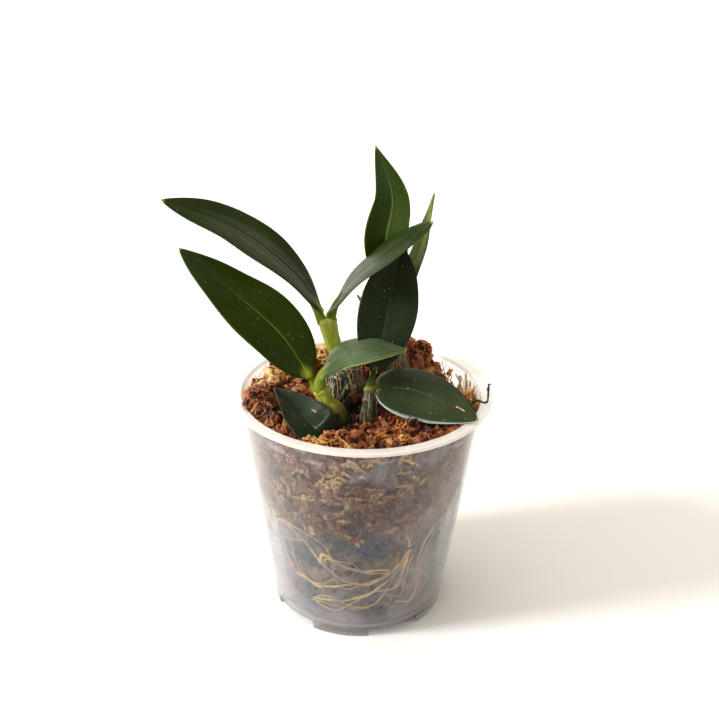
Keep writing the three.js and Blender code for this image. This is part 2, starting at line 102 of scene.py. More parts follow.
camera_data = bpy.data.cameras.new("camera")
camera_data.sensor_width = SENSOR
camera_data.lens = SENSOR * FOCAL_PIXELS / PHOTO_PIXELS
camera_data.clip_start = 0.01
camera_data.clip_end = 50
camera_data.dof.use_dof = False
camera = add_object("camera", camera_data)
turn = Matrix.Rotation(math.pi / 2 - PITCH, 4, "X") @ Matrix.Rotation(ROLL, 4, "Z")
camera.matrix_world = Matrix.Translation(CAMERA_AT * MM + AXIS) @ turn
bpy.context.scene.camera = camera
print("camera at", [round(v, 4) for v in camera.location], "lens", round(camera_data.lens, 2), "mm")

# %% [markdown]
# ## Helpers for node trees
# Materials and Geometry Nodes trees are written in the same way: `node` adds one node, sets its
# options and fills its inputs, either with values or with links from other nodes' outputs.
# `group` makes a tree with named inputs and outputs, so that it can be reused with other values.

# %% Node helpers
SOCKETS = {float: "NodeSocketFloat", int: "NodeSocketInt", tuple: "NodeSocketColor"}


def node(tree, kind, inputs=(), **options):
    made = tree.nodes.new(kind)
    for name, value in options.items():
        setattr(made, name, value)
    for name, value in dict(inputs).items():
        if isinstance(value, bpy.types.NodeSocket):
            tree.links.new(value, made.inputs[name])
        else:
            made.inputs[name].default_value = value
    return made


def group(name, kind, inputs, outputs):
    tree = bpy.data.node_groups.new(name, kind)
    for title, default in inputs.items():
        socket = default if isinstance(default, str) else SOCKETS[type(default)]
        item = tree.interface.new_socket(title, in_out="INPUT", socket_type=socket)
        if not isinstance(default, str):
            item.default_value = default
    for title, socket in outputs.items():
        tree.interface.new_socket(title, in_out="OUTPUT", socket_type=socket)
    source = tree.nodes.new("NodeGroupInput")
    sink = tree.nodes.new("NodeGroupOutput")
    return tree, source.outputs, sink.inputs


def maths(tree, operation, a, b=0.0, clamp=False):
    return node(tree, "ShaderNodeMath", {0: a, 1: b}, operation=operation, use_clamp=clamp).outputs[0]


def times(tree, a, b):
    return maths(tree, "MULTIPLY", a, b)


def plus(tree, first, *others):
    for other in others:
        first = maths(tree, "ADD", first, other)
    return first


def fade(tree, value, start, end, low=0.0, high=1.0):
    """Smooth step of a value from low at start to high at end."""
    made = node(tree, "ShaderNodeMapRange", {"Value": value, "From Min": start, "From Max": end,
                                             "To Min": low, "To Max": high},
                interpolation_type="SMOOTHSTEP")
    return made.outputs["Result"]


def mixed(tree, factor, a, b, blend="MIX"):
    return node(tree, "ShaderNodeMix", {0: factor, 6: a, 7: b}, data_type="RGBA",
                blend_type=blend).outputs[2]


def painted(tree, body, *layers):
    """A colour with more colours laid over it in turn, each through its own mask."""
    for mask, color in layers:
        body = mixed(tree, mask, body, color)
    return body


def ramp(tree, value, stops):
    made = node(tree, "ShaderNodeValToRGB", {"Fac": value})
    elements = made.color_ramp.elements
    while len(elements) < len(stops):
        elements.new(0.5)
    for element, (at, color) in zip(elements, stops):
        element.position = at
        element.color = srgb(*color)
    return made.outputs["Color"]


def here(tree):
    """Each point's own place, in object coordinates."""
    return node(tree, "ShaderNodeTexCoord").outputs["Object"]


def clouds(tree, place, scale, detail=2.0, roughness=0.5):
    """Smooth noise from 0 to 1."""
    return node(tree, "ShaderNodeTexNoise", {"Vector": place, "Scale": scale, "Detail": detail,
                                             "Roughness": roughness}).outputs["Fac"]


def attribute(tree, name):
    return node(tree, "ShaderNodeAttribute", attribute_name=name).outputs["Fac"]


def srgb(r, g, b):
    """A colour read off the screen, 0 to 255, as the linear colour that shaders use."""
    values = [v / 255 for v in (r, g, b)]
    return (*[v / 12.92 if v <= 0.04045 else ((v + 0.055) / 1.055) ** 2.4 for v in values], 1.0)


# %% [markdown]
# ## Shader groups shared by the materials
# `Mottle` gives two sizes of soft patches in one value, for anything that grew or got dusty.
# `Specks` scatters small dots, for dust, grit and mineral marks. `Rough skin` turns a height into a
# normal. All three read object coordinates, so they stay at real size on every piece.

# %% Mottle, Specks and Rough skin
FINER = 5.3

mottle_tree, given, result = group(
    "Mottle", "ShaderNodeTree", {"Patches per metre": 200.0, "Fine share": 0.4}, {"Value": "NodeSocketFloat"})
own_place = here(mottle_tree)
broad = clouds(mottle_tree, own_place, given["Patches per metre"])
fine = clouds(mottle_tree, own_place, times(mottle_tree, given["Patches per metre"], FINER), 4.0, 0.6)
both = node(mottle_tree, "ShaderNodeMix", {0: given["Fine share"], 2: broad, 3: fine}).outputs[0]
mottle_tree.links.new(fade(mottle_tree, both, 0.3, 0.7), result["Value"])

specks_tree, given, result = group(
    "Specks", "ShaderNodeTree", {"Cells per metre": 500.0, "Dot size": 0.12, "Share of cells": 0.3},
    {"Mask": "NodeSocketFloat"})
cells = node(specks_tree, "ShaderNodeTexVoronoi",
             {"Vector": here(specks_tree), "Scale": given["Cells per metre"]})
dot = maths(specks_tree, "LESS_THAN", cells.outputs["Distance"], given["Dot size"])
chosen = maths(specks_tree, "LESS_THAN",
               node(specks_tree, "ShaderNodeSeparateColor", {"Color": cells.outputs["Color"]}).outputs[0],
               given["Share of cells"])
specks_tree.links.new(times(specks_tree, dot, chosen), result["Mask"])

skin_tree, given, result = group(
    "Rough skin", "ShaderNodeTree", {"Height": 0.5, "Strength": 0.3, "Depth": 0.0002},
    {"Normal": "NodeSocketVector"})
bump = node(skin_tree, "ShaderNodeBump", {"Height": given["Height"], "Strength": given["Strength"],
                                          "Distance": given["Depth"]})
skin_tree.links.new(bump.outputs["Normal"], result["Normal"])
print("shader groups:", [g.name for g in bpy.data.node_groups])


# %% Helpers that use the shader groups
def mottle(tree, patches, fine_share=0.4):
    return node(tree, "ShaderNodeGroup", {"Patches per metre": patches, "Fine share": fine_share},
                node_tree=mottle_tree).outputs[0]


def specks(tree, cells_per_metre, size, share):
    return node(tree, "ShaderNodeGroup", {"Cells per metre": cells_per_metre, "Dot size": size,
                                          "Share of cells": share}, node_tree=specks_tree).outputs[0]


def rough_skin(tree, height, strength, depth):
    return node(tree, "ShaderNodeGroup", {"Height": height, "Strength": strength, "Depth": depth},
                node_tree=skin_tree).outputs[0]


def tones(patches, one, other, fine_share=0.4):
    """A colour that goes softly from one screen colour to the other."""
    return lambda tree: mixed(tree, mottle(tree, patches, fine_share), srgb(*one), srgb(*other))


def between(patches, low, high, fine_share=0.4):
    """A value that goes softly from one limit to the other."""
    return lambda tree: fade(tree, mottle(tree, patches, fine_share), 0.0, 1.0, low, high)


def bumpy(patches, strength, depth, fine_share=0.4):
    """A normal with bumps of a given depth in metres."""
    return lambda tree: rough_skin(tree, mottle(tree, patches, fine_share), strength, depth)


def principled(name, base, roughness, **inputs):
    """A material. Each input is a plain value, or a function that adds nodes to the tree."""
    material = bpy.data.materials.new(name)
    material.use_nodes = True
    tree = material.node_tree
    shader = tree.nodes["Principled BSDF"]
    for title, value in {"Base Color": base, "Roughness": roughness, **inputs}.items():
        title = title.replace("_", " ")
        value = value(tree) if callable(value) else value
        if isinstance(value, bpy.types.NodeSocket):
            tree.links.new(value, shader.inputs[title])
        else:
            shader.inputs[title].default_value = value
    return material


# %% [markdown]
# ## Helpers for shapes
# The canes, leaves and roots follow smooth lines through a few points, the same lines as in the
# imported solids. `spline` gives places and directions along such a line at even steps. `piece`
# turns points in millimetres into a finished object that rides on the plant's one body.

# %% Shape helpers
def spline(points, shares, even=True):
    p = np.array(points, float)
    p = np.vstack([2 * p[0] - p[1], p, 2 * p[-1] - p[-2]])
    spans = len(points) - 1

    def at(t):
        run = np.clip(t, 0, 1) * spans
        i = np.minimum(run.astype(int), spans - 1)
        w = (run - i)[:, None]
        a, b, c, d = p[i], p[i + 1], p[i + 2], p[i + 3]
        t0, t1 = (c - a) / 2, (d - b) / 2
        return b + t0 * w + (3 * (c - b) - 2 * t0 - t1) * w**2 + (2 * (b - c) + t0 + t1) * w**3

    t = np.asarray(shares, float)
    if even:
        dense = np.linspace(0, 1, 1001)
        steps = np.linalg.norm(np.diff(at(dense), axis=0), axis=1)
        length = np.concatenate([[0], np.cumsum(steps)])
        t = np.interp(t * length[-1], length, dense)
    ahead = at(t + 1e-4) - at(t - 1e-4)
    return at(t), ahead / np.linalg.norm(ahead, axis=1)[:, None]


def smooth_step(t, start, end):
    s = np.clip((t - start) / (end - start), 0, 1)
    return s * s * (3 - 2 * s)


def profile(pairs, t):
    """The value at each t on a smooth line through (t, value) pairs."""
    t = np.asarray(t, float)
    value = np.full(t.shape, float(pairs[0][1]))
    for (a, u), (b, v) in zip(pairs, pairs[1:]):
        inside = t > a
        value[inside] = u + (v - u) * smooth_step(t[inside], a, b)
    return value


def unit(v):
    return v / np.linalg.norm(v, axis=-1, keepdims=True)


def rough(points, scale, seed=0.0):
    """Smooth noise from -1 to 1 at each point, with bumps about scale mm across."""
    return np.array([noise.noise(Vector(p) / scale + Vector((seed, seed * 1.7, seed * 0.3))) for p in points])


def wander(points, reach, scale, seeds):
    """A smooth shift of each point by up to reach mm, with swings about scale mm long."""
    return reach * np.stack([rough(points, scale, seed) for seed in seeds], axis=1)


def degrees_round(points):
    """Where points stand round the pot, in degrees to the right of the front."""
    return np.degrees(np.arctan2(points[:, 0], -points[:, 1]))


def face_outward(mesh):
    work = bmesh.new()
    work.from_mesh(mesh)
    bmesh.ops.recalc_face_normals(work, faces=work.faces)
    work.to_mesh(mesh)
    work.free()


def bare_object(name, points, faces, attributes=()):
    mesh = bpy.data.meshes.new(name)
    mesh.from_pydata((np.asarray(points, float) * MM + AXIS).tolist(), [], faces)
    for title, values in dict(attributes).items():
        layer = mesh.attributes.new(title, "FLOAT", "POINT")
        layer.data.foreach_set("value", np.asarray(values, np.float32))
    face_outward(mesh)
    mesh.shade_smooth()
    return add_object(name, mesh)


def finish_piece(made, node_name=None):
    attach(made, "root")
    if node_name:
        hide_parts(node_name)
    print(f"{made.name}: {len(made.data.polygons)} faces")
    return made


def piece(name, points, faces, material, node_name=None, attributes=()):
    made = bare_object(name, points, faces, attributes)
    made.data.materials.append(material)
    return finish_piece(made, node_name)


def ring_faces(rows, count, caps=True):
    """Quads between closed rings of points, and a many-sided face at each end."""
    faces = [(i * count + j, i * count + (j + 1) % count,
              (i + 1) * count + (j + 1) % count, (i + 1) * count + j)
             for i in range(rows - 1) for j in range(count)]
    if caps:
        faces += [tuple(range(count))[::-1], tuple((rows - 1) * count + j for j in range(count))]
    return faces


SIDEWAYS = np.array([1, 0, 0.1])


def tube(spine, radius_at, sides, rings, ribs=0, rib_depth=0.0):
    """Rings round a smooth line: points, faces, share of the length and rib height at each point."""
    t = np.linspace(0, 1, rings + 1)
    middle, along = spline(spine, t)
    radius = radius_at(t)
    across = SIDEWAYS
    angle = np.arange(sides) / sides * 2 * math.pi
    loops = []
    for i in range(rings + 1):
        across = unit(across - along[i] * np.dot(across, along[i]))
        other = np.cross(along[i], across)
        reach = radius[i] * (1 + rib_depth * np.cos(ribs * angle))
        loops.append(middle[i] + np.outer(reach * np.cos(angle), across)
                     + np.outer(reach * np.sin(angle), other))
    shape = {"along": np.repeat(t, sides), "rib": np.tile(np.cos(ribs * angle), rings + 1)}
    return np.vstack(loops), ring_faces(rings + 1, sides), shape


# %% [markdown]
# ## Geometry Nodes
# Three rules make everything on this plant that repeats or follows a path. `Turned pot` sweeps the
# wall's outline round a circle and cuts the feet and drain holes. `Strands` turns lines into tubes
# of uneven thickness: roots, fibres and moss threads. `Scatter` strews a collection of small
# shapes over a surface, each with its own turn, size and tint.


# %% Run a tree and keep its result as a plain mesh
def grown(name, source, tree, **inputs):
    modifier = source.modifiers.new(tree.name, "NODES")
    modifier.node_group = tree
    for title, value in inputs.items():
        title = title.replace("_", " ")
        item = next(s for s in tree.interface.items_tree if s.name == title and s.in_out == "INPUT")
        modifier[item.identifier] = value
    source.update_tag()
    bpy.context.view_layer.update()
    evaluated = source.evaluated_get(bpy.context.evaluated_depsgraph_get())
    mesh = bpy.data.meshes.new_from_object(evaluated)
    mesh.name = name
    face_outward(mesh)
    source.modifiers.remove(modifier)
    bpy.data.objects.remove(source)
    return add_object(name, mesh)


def end_tree(tree, shape, material, output):
    """Every tree ends with real shapes that have their material, because the export drops instances."""
    real = node(tree, "GeometryNodeRealizeInstances", {"Geometry": shape}).outputs[0]
    made = node(tree, "GeometryNodeSetMaterial", {"Geometry": real, "Material": material})
    tree.links.new(made.outputs[0], output)
    print(f"{tree.name}: {len(tree.nodes)} nodes")


# %% The tree "Turned pot"
WELD_DISTANCE = 2e-6
pot_tree, given, result = group(
    "Turned pot", "GeometryNodeTree",
    {"Outline": "NodeSocketGeometry", "Sides": 192, "Rail radius": 0.031, "Feet": 5, "Turn": 0.0,
     "Notch width": 0.0185, "Notch height": 0.0032, "Drain radius": 0.003, "Drain circle": 0.017,
     "Floor height": 0.0045, "Material": "NodeSocketMaterial"},
    {"Pot": "NodeSocketGeometry"})
rail = node(pot_tree, "GeometryNodeCurvePrimitiveCircle",
            {"Resolution": given["Sides"], "Radius": given["Rail radius"]}).outputs[0]
swept = node(pot_tree, "GeometryNodeCurveToMesh",
             {"Curve": rail, "Profile Curve": given["Outline"]}).outputs[0]
cup = node(pot_tree, "GeometryNodeFlipFaces", {"Mesh": swept}).outputs[0]


def combined(tree, x=0.0, y=0.0, z=0.0):
    return node(tree, "ShaderNodeCombineXYZ", {"X": x, "Y": y, "Z": z}).outputs[0]


def rotation(tree, **angles):
    return node(tree, "FunctionNodeEulerToRotation", {"Euler": combined(tree, **angles)}).outputs[0]


def round_the_axis(tree, shape, count, radius, turn):
    """Copies of a shape at even steps round a circle, each turned to face outward."""
    circle = node(tree, "GeometryNodeCurvePrimitiveCircle",
                  {"Resolution": count, "Radius": radius}).outputs[0]
    points = node(tree, "GeometryNodeCurveToPoints", {"Curve": circle}, mode="EVALUATED").outputs["Points"]
    step = maths(tree, "DIVIDE", 2 * math.pi, count)
    angle = times(tree, node(tree, "GeometryNodeInputIndex").outputs[0], step)
    copies = node(tree, "GeometryNodeInstanceOnPoints",
                  {"Points": points, "Instance": shape, "Rotation": rotation(tree, z=angle)}).outputs[0]
    whole = node(tree, "GeometryNodeRealizeInstances", {"Geometry": copies}).outputs[0]
    return node(tree, "GeometryNodeTransform",
                {"Geometry": whole, "Rotation": rotation(tree, z=turn)}).outputs[0]


NOTCH_DEPTH = 0.012
DRILL_SIDES = 32
DRILL_LENGTH = 0.004
block = node(pot_tree, "GeometryNodeMeshCube",
             {"Size": combined(pot_tree, NOTCH_DEPTH, given["Notch width"],
                               times(pot_tree, given["Notch height"], 2))}).outputs[0]
half_step = maths(pot_tree, "DIVIDE", math.pi, given["Feet"])
notches = round_the_axis(pot_tree, block, given["Feet"], given["Rail radius"],
                         plus(pot_tree, given["Turn"], half_step))
drill = node(pot_tree, "GeometryNodeMeshCylinder",
             {"Vertices": DRILL_SIDES, "Radius": given["Drain radius"], "Depth": DRILL_LENGTH}).outputs[0]
lift = combined(pot_tree, z=given["Floor height"])
drills = round_the_axis(pot_tree, drill, given["Feet"], given["Drain circle"], given["Turn"])
middle_drain, ring_drains = [
    node(pot_tree, "GeometryNodeTransform", {"Geometry": cutter, "Translation": lift}).outputs[0]
    for cutter in (drill, drills)]
cut = node(pot_tree, "GeometryNodeMeshBoolean", {"Mesh 1": cup}, operation="DIFFERENCE")
for cutter in (notches, middle_drain, ring_drains):
    pot_tree.links.new(cutter, cut.inputs["Mesh 2"])
welded = node(pot_tree, "GeometryNodeMergeByDistance",
              {"Geometry": cut.outputs[0], "Distance": WELD_DISTANCE}).outputs[0]
end_tree(pot_tree, welded, given["Material"], result["Pot"])

# %% The tree "Strands"
strand_tree, given, result = group(
    "Strands", "GeometryNodeTree",
    {"Lines": "NodeSocketGeometry", "Step": 0.001, "Sides": 10, "Unevenness": 0.15,
     "Bumps per metre": 300.0, "Seed": 1, "Material": "NodeSocketMaterial"},
    {"Tubes": "NodeSocketGeometry"})
even = node(strand_tree, "GeometryNodeResampleCurve", {"Curve": given["Lines"], "Length": given["Step"]},
            mode="LENGTH").outputs[0]
where = node(strand_tree, "GeometryNodeInputPosition").outputs[0]
bumps = node(strand_tree, "ShaderNodeTexNoise",
             {"Vector": where, "W": given["Seed"], "Scale": given["Bumps per metre"]},
             noise_dimensions="4D").outputs[0]
swing = maths(strand_tree, "MULTIPLY_ADD", maths(strand_tree, "SUBTRACT", bumps, 0.5), given["Unevenness"])
swing.node.inputs[2].default_value = 1.0
share = node(strand_tree, "GeometryNodeSplineParameter").outputs["Factor"]
marked = node(strand_tree, "GeometryNodeStoreNamedAttribute",
              {"Geometry": even, "Name": "along", "Value": share}).outputs[0]
radius = times(strand_tree, node(strand_tree, "GeometryNodeInputRadius").outputs[0], swing)
ring = node(strand_tree, "GeometryNodeCurvePrimitiveCircle",
            {"Resolution": given["Sides"], "Radius": 1.0}).outputs[0]
tubes = node(strand_tree, "GeometryNodeCurveToMesh",
             {"Curve": marked, "Profile Curve": ring, "Scale": radius, "Fill Caps": True}).outputs[0]
end_tree(strand_tree, tubes, given["Material"], result["Tubes"])


# %% Lines for the tree "Strands"
def lines_object(name, runs):
    """A curve object from runs of (points in mm, radii in mm)."""
    curve = bpy.data.curves.new(name, "CURVE")
    curve.dimensions = "3D"
    for points, radii in runs:
        run = curve.splines.new("POLY")
        run.points.add(len(points) - 1)
        for spot, p, r in zip(run.points, np.asarray(points, float) * MM + AXIS, radii):
            spot.co = (*p, 1)
            spot.radius = r * MM
    return add_object(name, curve)


def smooth_run(points, radii):
    """A smooth line through a few points, with one radius at each even step."""
    return spline(points, np.linspace(0, 1, len(radii)))[0], radii


def strands(name, runs, material, slot, node_name=None, **inputs):
    made = grown(name, lines_object(name + "_lines", runs), strand_tree, Material=material, **inputs)
    made.data.shade_smooth()
    return finish_piece(made, node_name)


# %% The tree "Scatter"
scatter_tree, given, result = group(
    "Scatter", "GeometryNodeTree",
    {"Surface": "NodeSocketGeometry", "Shapes": "NodeSocketCollection", "Per square metre": 1e5, "Seed": 1,
     "Smallest": 0.6, "Largest": 1.4, "Tilt": 0.5, "Sink": 0.0, "Obstacle": "NodeSocketObject",
     "Clear by": 0.0, "Material": "NodeSocketMaterial"},
    {"Pieces": "NodeSocketGeometry"})
dots = node(scatter_tree, "GeometryNodeDistributePointsOnFaces",
            {"Mesh": given["Surface"], "Density": given["Per square metre"], "Seed": given["Seed"]})
blocked = node(scatter_tree, "GeometryNodeObjectInfo", {"Object": given["Obstacle"]},
               transform_space="RELATIVE").outputs["Geometry"]
gap = node(scatter_tree, "GeometryNodeProximity", {"Geometry": blocked},
           target_element="FACES").outputs["Distance"]
close = node(scatter_tree, "FunctionNodeCompare", {"A": gap, "B": given["Clear by"]},
             operation="LESS_THAN").outputs[0]
near = node(scatter_tree, "GeometryNodeCaptureAttribute", {"Geometry": dots.outputs["Points"]})
near.capture_items.new("VECTOR", "Normal")
scatter_tree.links.new(dots.outputs["Normal"], near.inputs["Normal"])
free = node(scatter_tree, "GeometryNodeDeleteGeometry",
            {"Geometry": near.outputs["Geometry"], "Selection": close}, domain="POINT").outputs[0]
normal = near.outputs["Normal"]


def chance(low, high, stream, kind="FLOAT"):
    """A random value for each point; each use takes its own stream of the seed."""
    low_slot, high_slot, out_slot = {"FLOAT": (2, 3, 1), "INT": (4, 5, 2)}[kind]
    return node(scatter_tree, "FunctionNodeRandomValue",
                {"Seed": plus(scatter_tree, given["Seed"], stream), low_slot: low, high_slot: high},
                data_type=kind).outputs[out_slot]


upright = node(scatter_tree, "FunctionNodeAlignRotationToVector",
               {"Vector": normal}, axis="Z").outputs[0]
lean = times(scatter_tree, given["Tilt"], -1.0)
tumble = rotation(scatter_tree, x=chance(lean, given["Tilt"], 1), y=chance(lean, given["Tilt"], 2),
                  z=chance(0.0, 2 * math.pi, 3))
turned = node(scatter_tree, "FunctionNodeRotateRotation", {"Rotation": upright, "Rotate By": tumble},
              rotation_space="LOCAL").outputs[0]
down = node(scatter_tree, "ShaderNodeVectorMath",
            {0: normal, "Scale": times(scatter_tree, given["Sink"], -1.0)}, operation="SCALE").outputs[0]
sunk = node(scatter_tree, "GeometryNodeSetPosition", {"Geometry": free, "Offset": down}).outputs[0]
shapes = node(scatter_tree, "GeometryNodeCollectionInfo",
              {"Collection": given["Shapes"], "Separate Children": True, "Reset Children": True}).outputs[0]
copies = node(scatter_tree, "GeometryNodeInstanceOnPoints",
              {"Points": sunk, "Instance": shapes, "Pick Instance": True,
               "Instance Index": chance(0, 1000, 4, "INT"), "Rotation": turned,
               "Scale": chance(given["Smallest"], given["Largest"], 5)}).outputs[0]
tinted = node(scatter_tree, "GeometryNodeStoreNamedAttribute",
              {"Geometry": copies, "Name": "tint", "Value": chance(0.0, 1.0, 6)},
              domain="INSTANCE").outputs[0]
end_tree(scatter_tree, tinted, given["Material"], result["Pieces"])

# %% [markdown]
# ## The pot
# The pot is pressed from thin polypropylene. It is clear but milky, and damp inside. What touches
# the wall shows sharply, and a pale haze lies over everything, thicker where the wall is seen at a
# slant. The material lets most light straight through and scatters the rest, so daylight reaches
# the moss. The rim is double, so it is less clear. The foot is less clear and darker, partly from
# scuffs and grime and partly as painted shade.


# %% Plastic
CLEAR_SPOT = np.array([2, -35, 36])
CLEAR_REACH = (11 * MM, 20 * MM)
FOG_BELOW = (46.0, 38.0)
SCUFFS_ABOVE = (60.0, 74.0)
RIM_ABOVE = (79.6, 80.9)
FOOT_BELOW = (6.0, 3.5)
FLOOR_LINE = ((4.0, 4.6), (6.0, 5.2))


def height_mask(tree, start, end):
    """Smooth step with height, in millimetres above the table."""
    height = node(tree, "ShaderNodeSeparateXYZ", {0: here(tree)}).outputs["Z"]
    return fade(tree, height, start * MM, end * MM)


def fog(tree):
    """Damp patches low on the wall, away from the clear middle of the front."""
    away = node(tree, "ShaderNodeVectorMath", {0: here(tree), 1: tuple(CLEAR_SPOT * MM + AXIS)},
                operation="DISTANCE").outputs["Value"]
    patches = times(tree, fade(tree, mottle(tree, 90.0), 0.35, 0.9), 0.16)
    return times(tree, times(tree, patches, height_mask(tree, *FOG_BELOW)), fade(tree, away, *CLEAR_REACH))


def scratches(tree):
    """Fine pale scuffs round the wall under the rim."""
    place = node(tree, "ShaderNodeMapping", {"Vector": here(tree), "Rotation": (0.0, 0.25, 0.0),
                                             "Scale": (140.0, 140.0, 900.0)}).outputs[0]
    lines = clouds(tree, place, 1.0, 3.0)
    return times(tree, fade(tree, lines, 0.63, 0.68, 0.0, 0.4), height_mask(tree, *SCUFFS_ABOVE))


def plastic_haze(tree):
    """How much the wall hides: damp clouds, more at a slant, small drops, the rim and the foot."""
    cloud = fade(tree, mottle(tree, 55.0, 0.5), 0.0, 1.0, 0.0, 0.06)
    slant = node(tree, "ShaderNodeLayerWeight", {"Blend": 0.5}).outputs["Facing"]
    thick = times(tree, maths(tree, "POWER", slant, 1.9), 0.55)
    drops = times(tree, specks(tree, 700.0, 0.16, 0.16), 0.3)
    haze = plus(tree, cloud, thick, drops, fog(tree), scratches(tree))
    rim = times(tree, height_mask(tree, *RIM_ABOVE), 0.46)
    # The foot hides more, partly from scuffs and partly so that its painted shade shows.
    foot = times(tree, height_mask(tree, *FOOT_BELOW), 0.38)
    low, high = [height_mask(tree, *heights) for heights in FLOOR_LINE]
    floor_line = times(tree, times(tree, low, high), 0.5)
    for other in (rim, foot, floor_line):
        haze = maths(tree, "MAXIMUM", haze, other)
    return haze


def plastic_color(tree):
    """Damp greys on the wall, cooler low down, a white rim and a foot darkened by grime and painted shade."""
    damp = tones(38.0, (178, 160, 160), (160, 158, 154), 0.3)(tree)
    low = tones(60.0, (150, 160, 168), (176, 162, 158), 0.3)(tree)
    # The foot: darker grey-brown, partly grime and partly painted shade, with brown specks of grime.
    grime_and_shade = painted(tree, tones(160.0, (118, 110, 104), (88, 76, 66), 0.5)(tree),
                    (specks(tree, 420.0, 0.3, 0.25), srgb(74, 54, 42)))
    return painted(tree, damp, (height_mask(tree, 48.0, 40.0), low),
                   (height_mask(tree, 79.5, 80.6), srgb(250, 246, 240)),
                   (height_mask(tree, 5.2, 3.6), grime_and_shade))


def plastic_material():
    material = principled(
        "clear_plastic", base=plastic_color, roughness=between(140.0, 0.2, 0.36, 0.5), Alpha=plastic_haze,
        Normal=bumpy(350.0, 0.12, 0.0002, 0.6))
    tree = material.node_tree
    shine = node(tree, "ShaderNodeBsdfGlossy", {"Color": (0.9, 0.9, 0.9, 1), "Roughness": 0.16})
    from_outside = maths(tree, "SUBTRACT", 1.0, node(tree, "ShaderNodeNewGeometry").outputs["Backfacing"])
    mirror = times(tree, node(tree, "ShaderNodeFresnel", {"IOR": 1.25}).outputs[0], from_outside)
    mix = node(tree, "ShaderNodeMixShader",
               {0: mirror, 1: tree.nodes["Principled BSDF"].outputs[0], 2: shine.outputs[0]})
    tree.links.new(mix.outputs[0], tree.nodes["Material Output"].inputs["Surface"])
    return material


plastic = plastic_material()

# %% Pot from its outline
POT_HEIGHT = 82
RIM_RADIUS = 45
WALL_TOP_RADIUS = 42.1
BASE_RADIUS = 31
WALL = 0.9
FOOT_WALL = 1.6
LIP_THICKNESS = 1.1
LIP_ROUND = 0.35
FLOOR_TOP = 5
FLOOR_THICKNESS = 1
FRONT_FOOT_TURN = -11.5


def outer_radius(z):
    return BASE_RADIUS + (WALL_TOP_RADIUS - BASE_RADIUS) * z / POT_HEIGHT


def inner_radius(z):
    return outer_radius(z) - WALL


lip_under = POT_HEIGHT - LIP_THICKNESS
arc = np.radians(np.linspace(-90, 90, 9))
lip = [(RIM_RADIUS - LIP_ROUND + LIP_ROUND * math.cos(a),
        (lip_under + LIP_ROUND if a < 0 else POT_HEIGHT - LIP_ROUND) + LIP_ROUND * math.sin(a)) for a in arc]
NEAR_AXIS = 0.01
FLOOR_ROUND = 0.6
outline = [(NEAR_AXIS, FLOOR_TOP - FLOOR_THICKNESS), (BASE_RADIUS - FOOT_WALL, FLOOR_TOP - FLOOR_THICKNESS),
           (BASE_RADIUS - FOOT_WALL, 0), (BASE_RADIUS, 0), *[(outer_radius(z), z) for z in range(8, 80, 8)],
           (outer_radius(lip_under), lip_under), *lip, (inner_radius(POT_HEIGHT) + 0.25, POT_HEIGHT),
           (inner_radius(POT_HEIGHT - 0.3), POT_HEIGHT - 0.3),
           *[(inner_radius(z), z) for z in range(80, 8, -8)],
           (inner_radius(FLOOR_TOP + FLOOR_ROUND), FLOOR_TOP + FLOOR_ROUND),
           (inner_radius(FLOOR_TOP) - FLOOR_ROUND, FLOOR_TOP), (NEAR_AXIS, FLOOR_TOP)]
outline_curve = bpy.data.curves.new("pot_outline", "CURVE")
outline_curve.dimensions = "3D"
run = outline_curve.splines.new("POLY")
run.points.add(len(outline) - 1)
run.use_cyclic_u = True
for spot, (r, z) in zip(run.points, outline):
    spot.co = ((r - BASE_RADIUS) * MM, -z * MM, 0, 1)
pot = grown("pot_clear", add_object("pot_outline", outline_curve), pot_tree, Rail_radius=BASE_RADIUS * MM,
            Turn=math.radians(-90 + FRONT_FOOT_TURN), Material=plastic)
pot.data.transform(Matrix.Translation(AXIS))
pot.data.shade_smooth()
pot.data.set_sharp_from_angle(angle=math.radians(35))
finish_piece(pot, "pot")

# %% [markdown]
# ## Leaves
# Each leaf is a thin leathery blade on a fleshy stalk that clasps its cane. It is folded a little
# along the midrib, its halves curl, and its edges run in slow waves. Rows of points across the
# midrib give all of that, on both faces alike. Three values are kept at each point for the
# material: `along`, from stalk to tip, `across`, from one edge to the other, and `under`, which is
# 1 on the lower face.

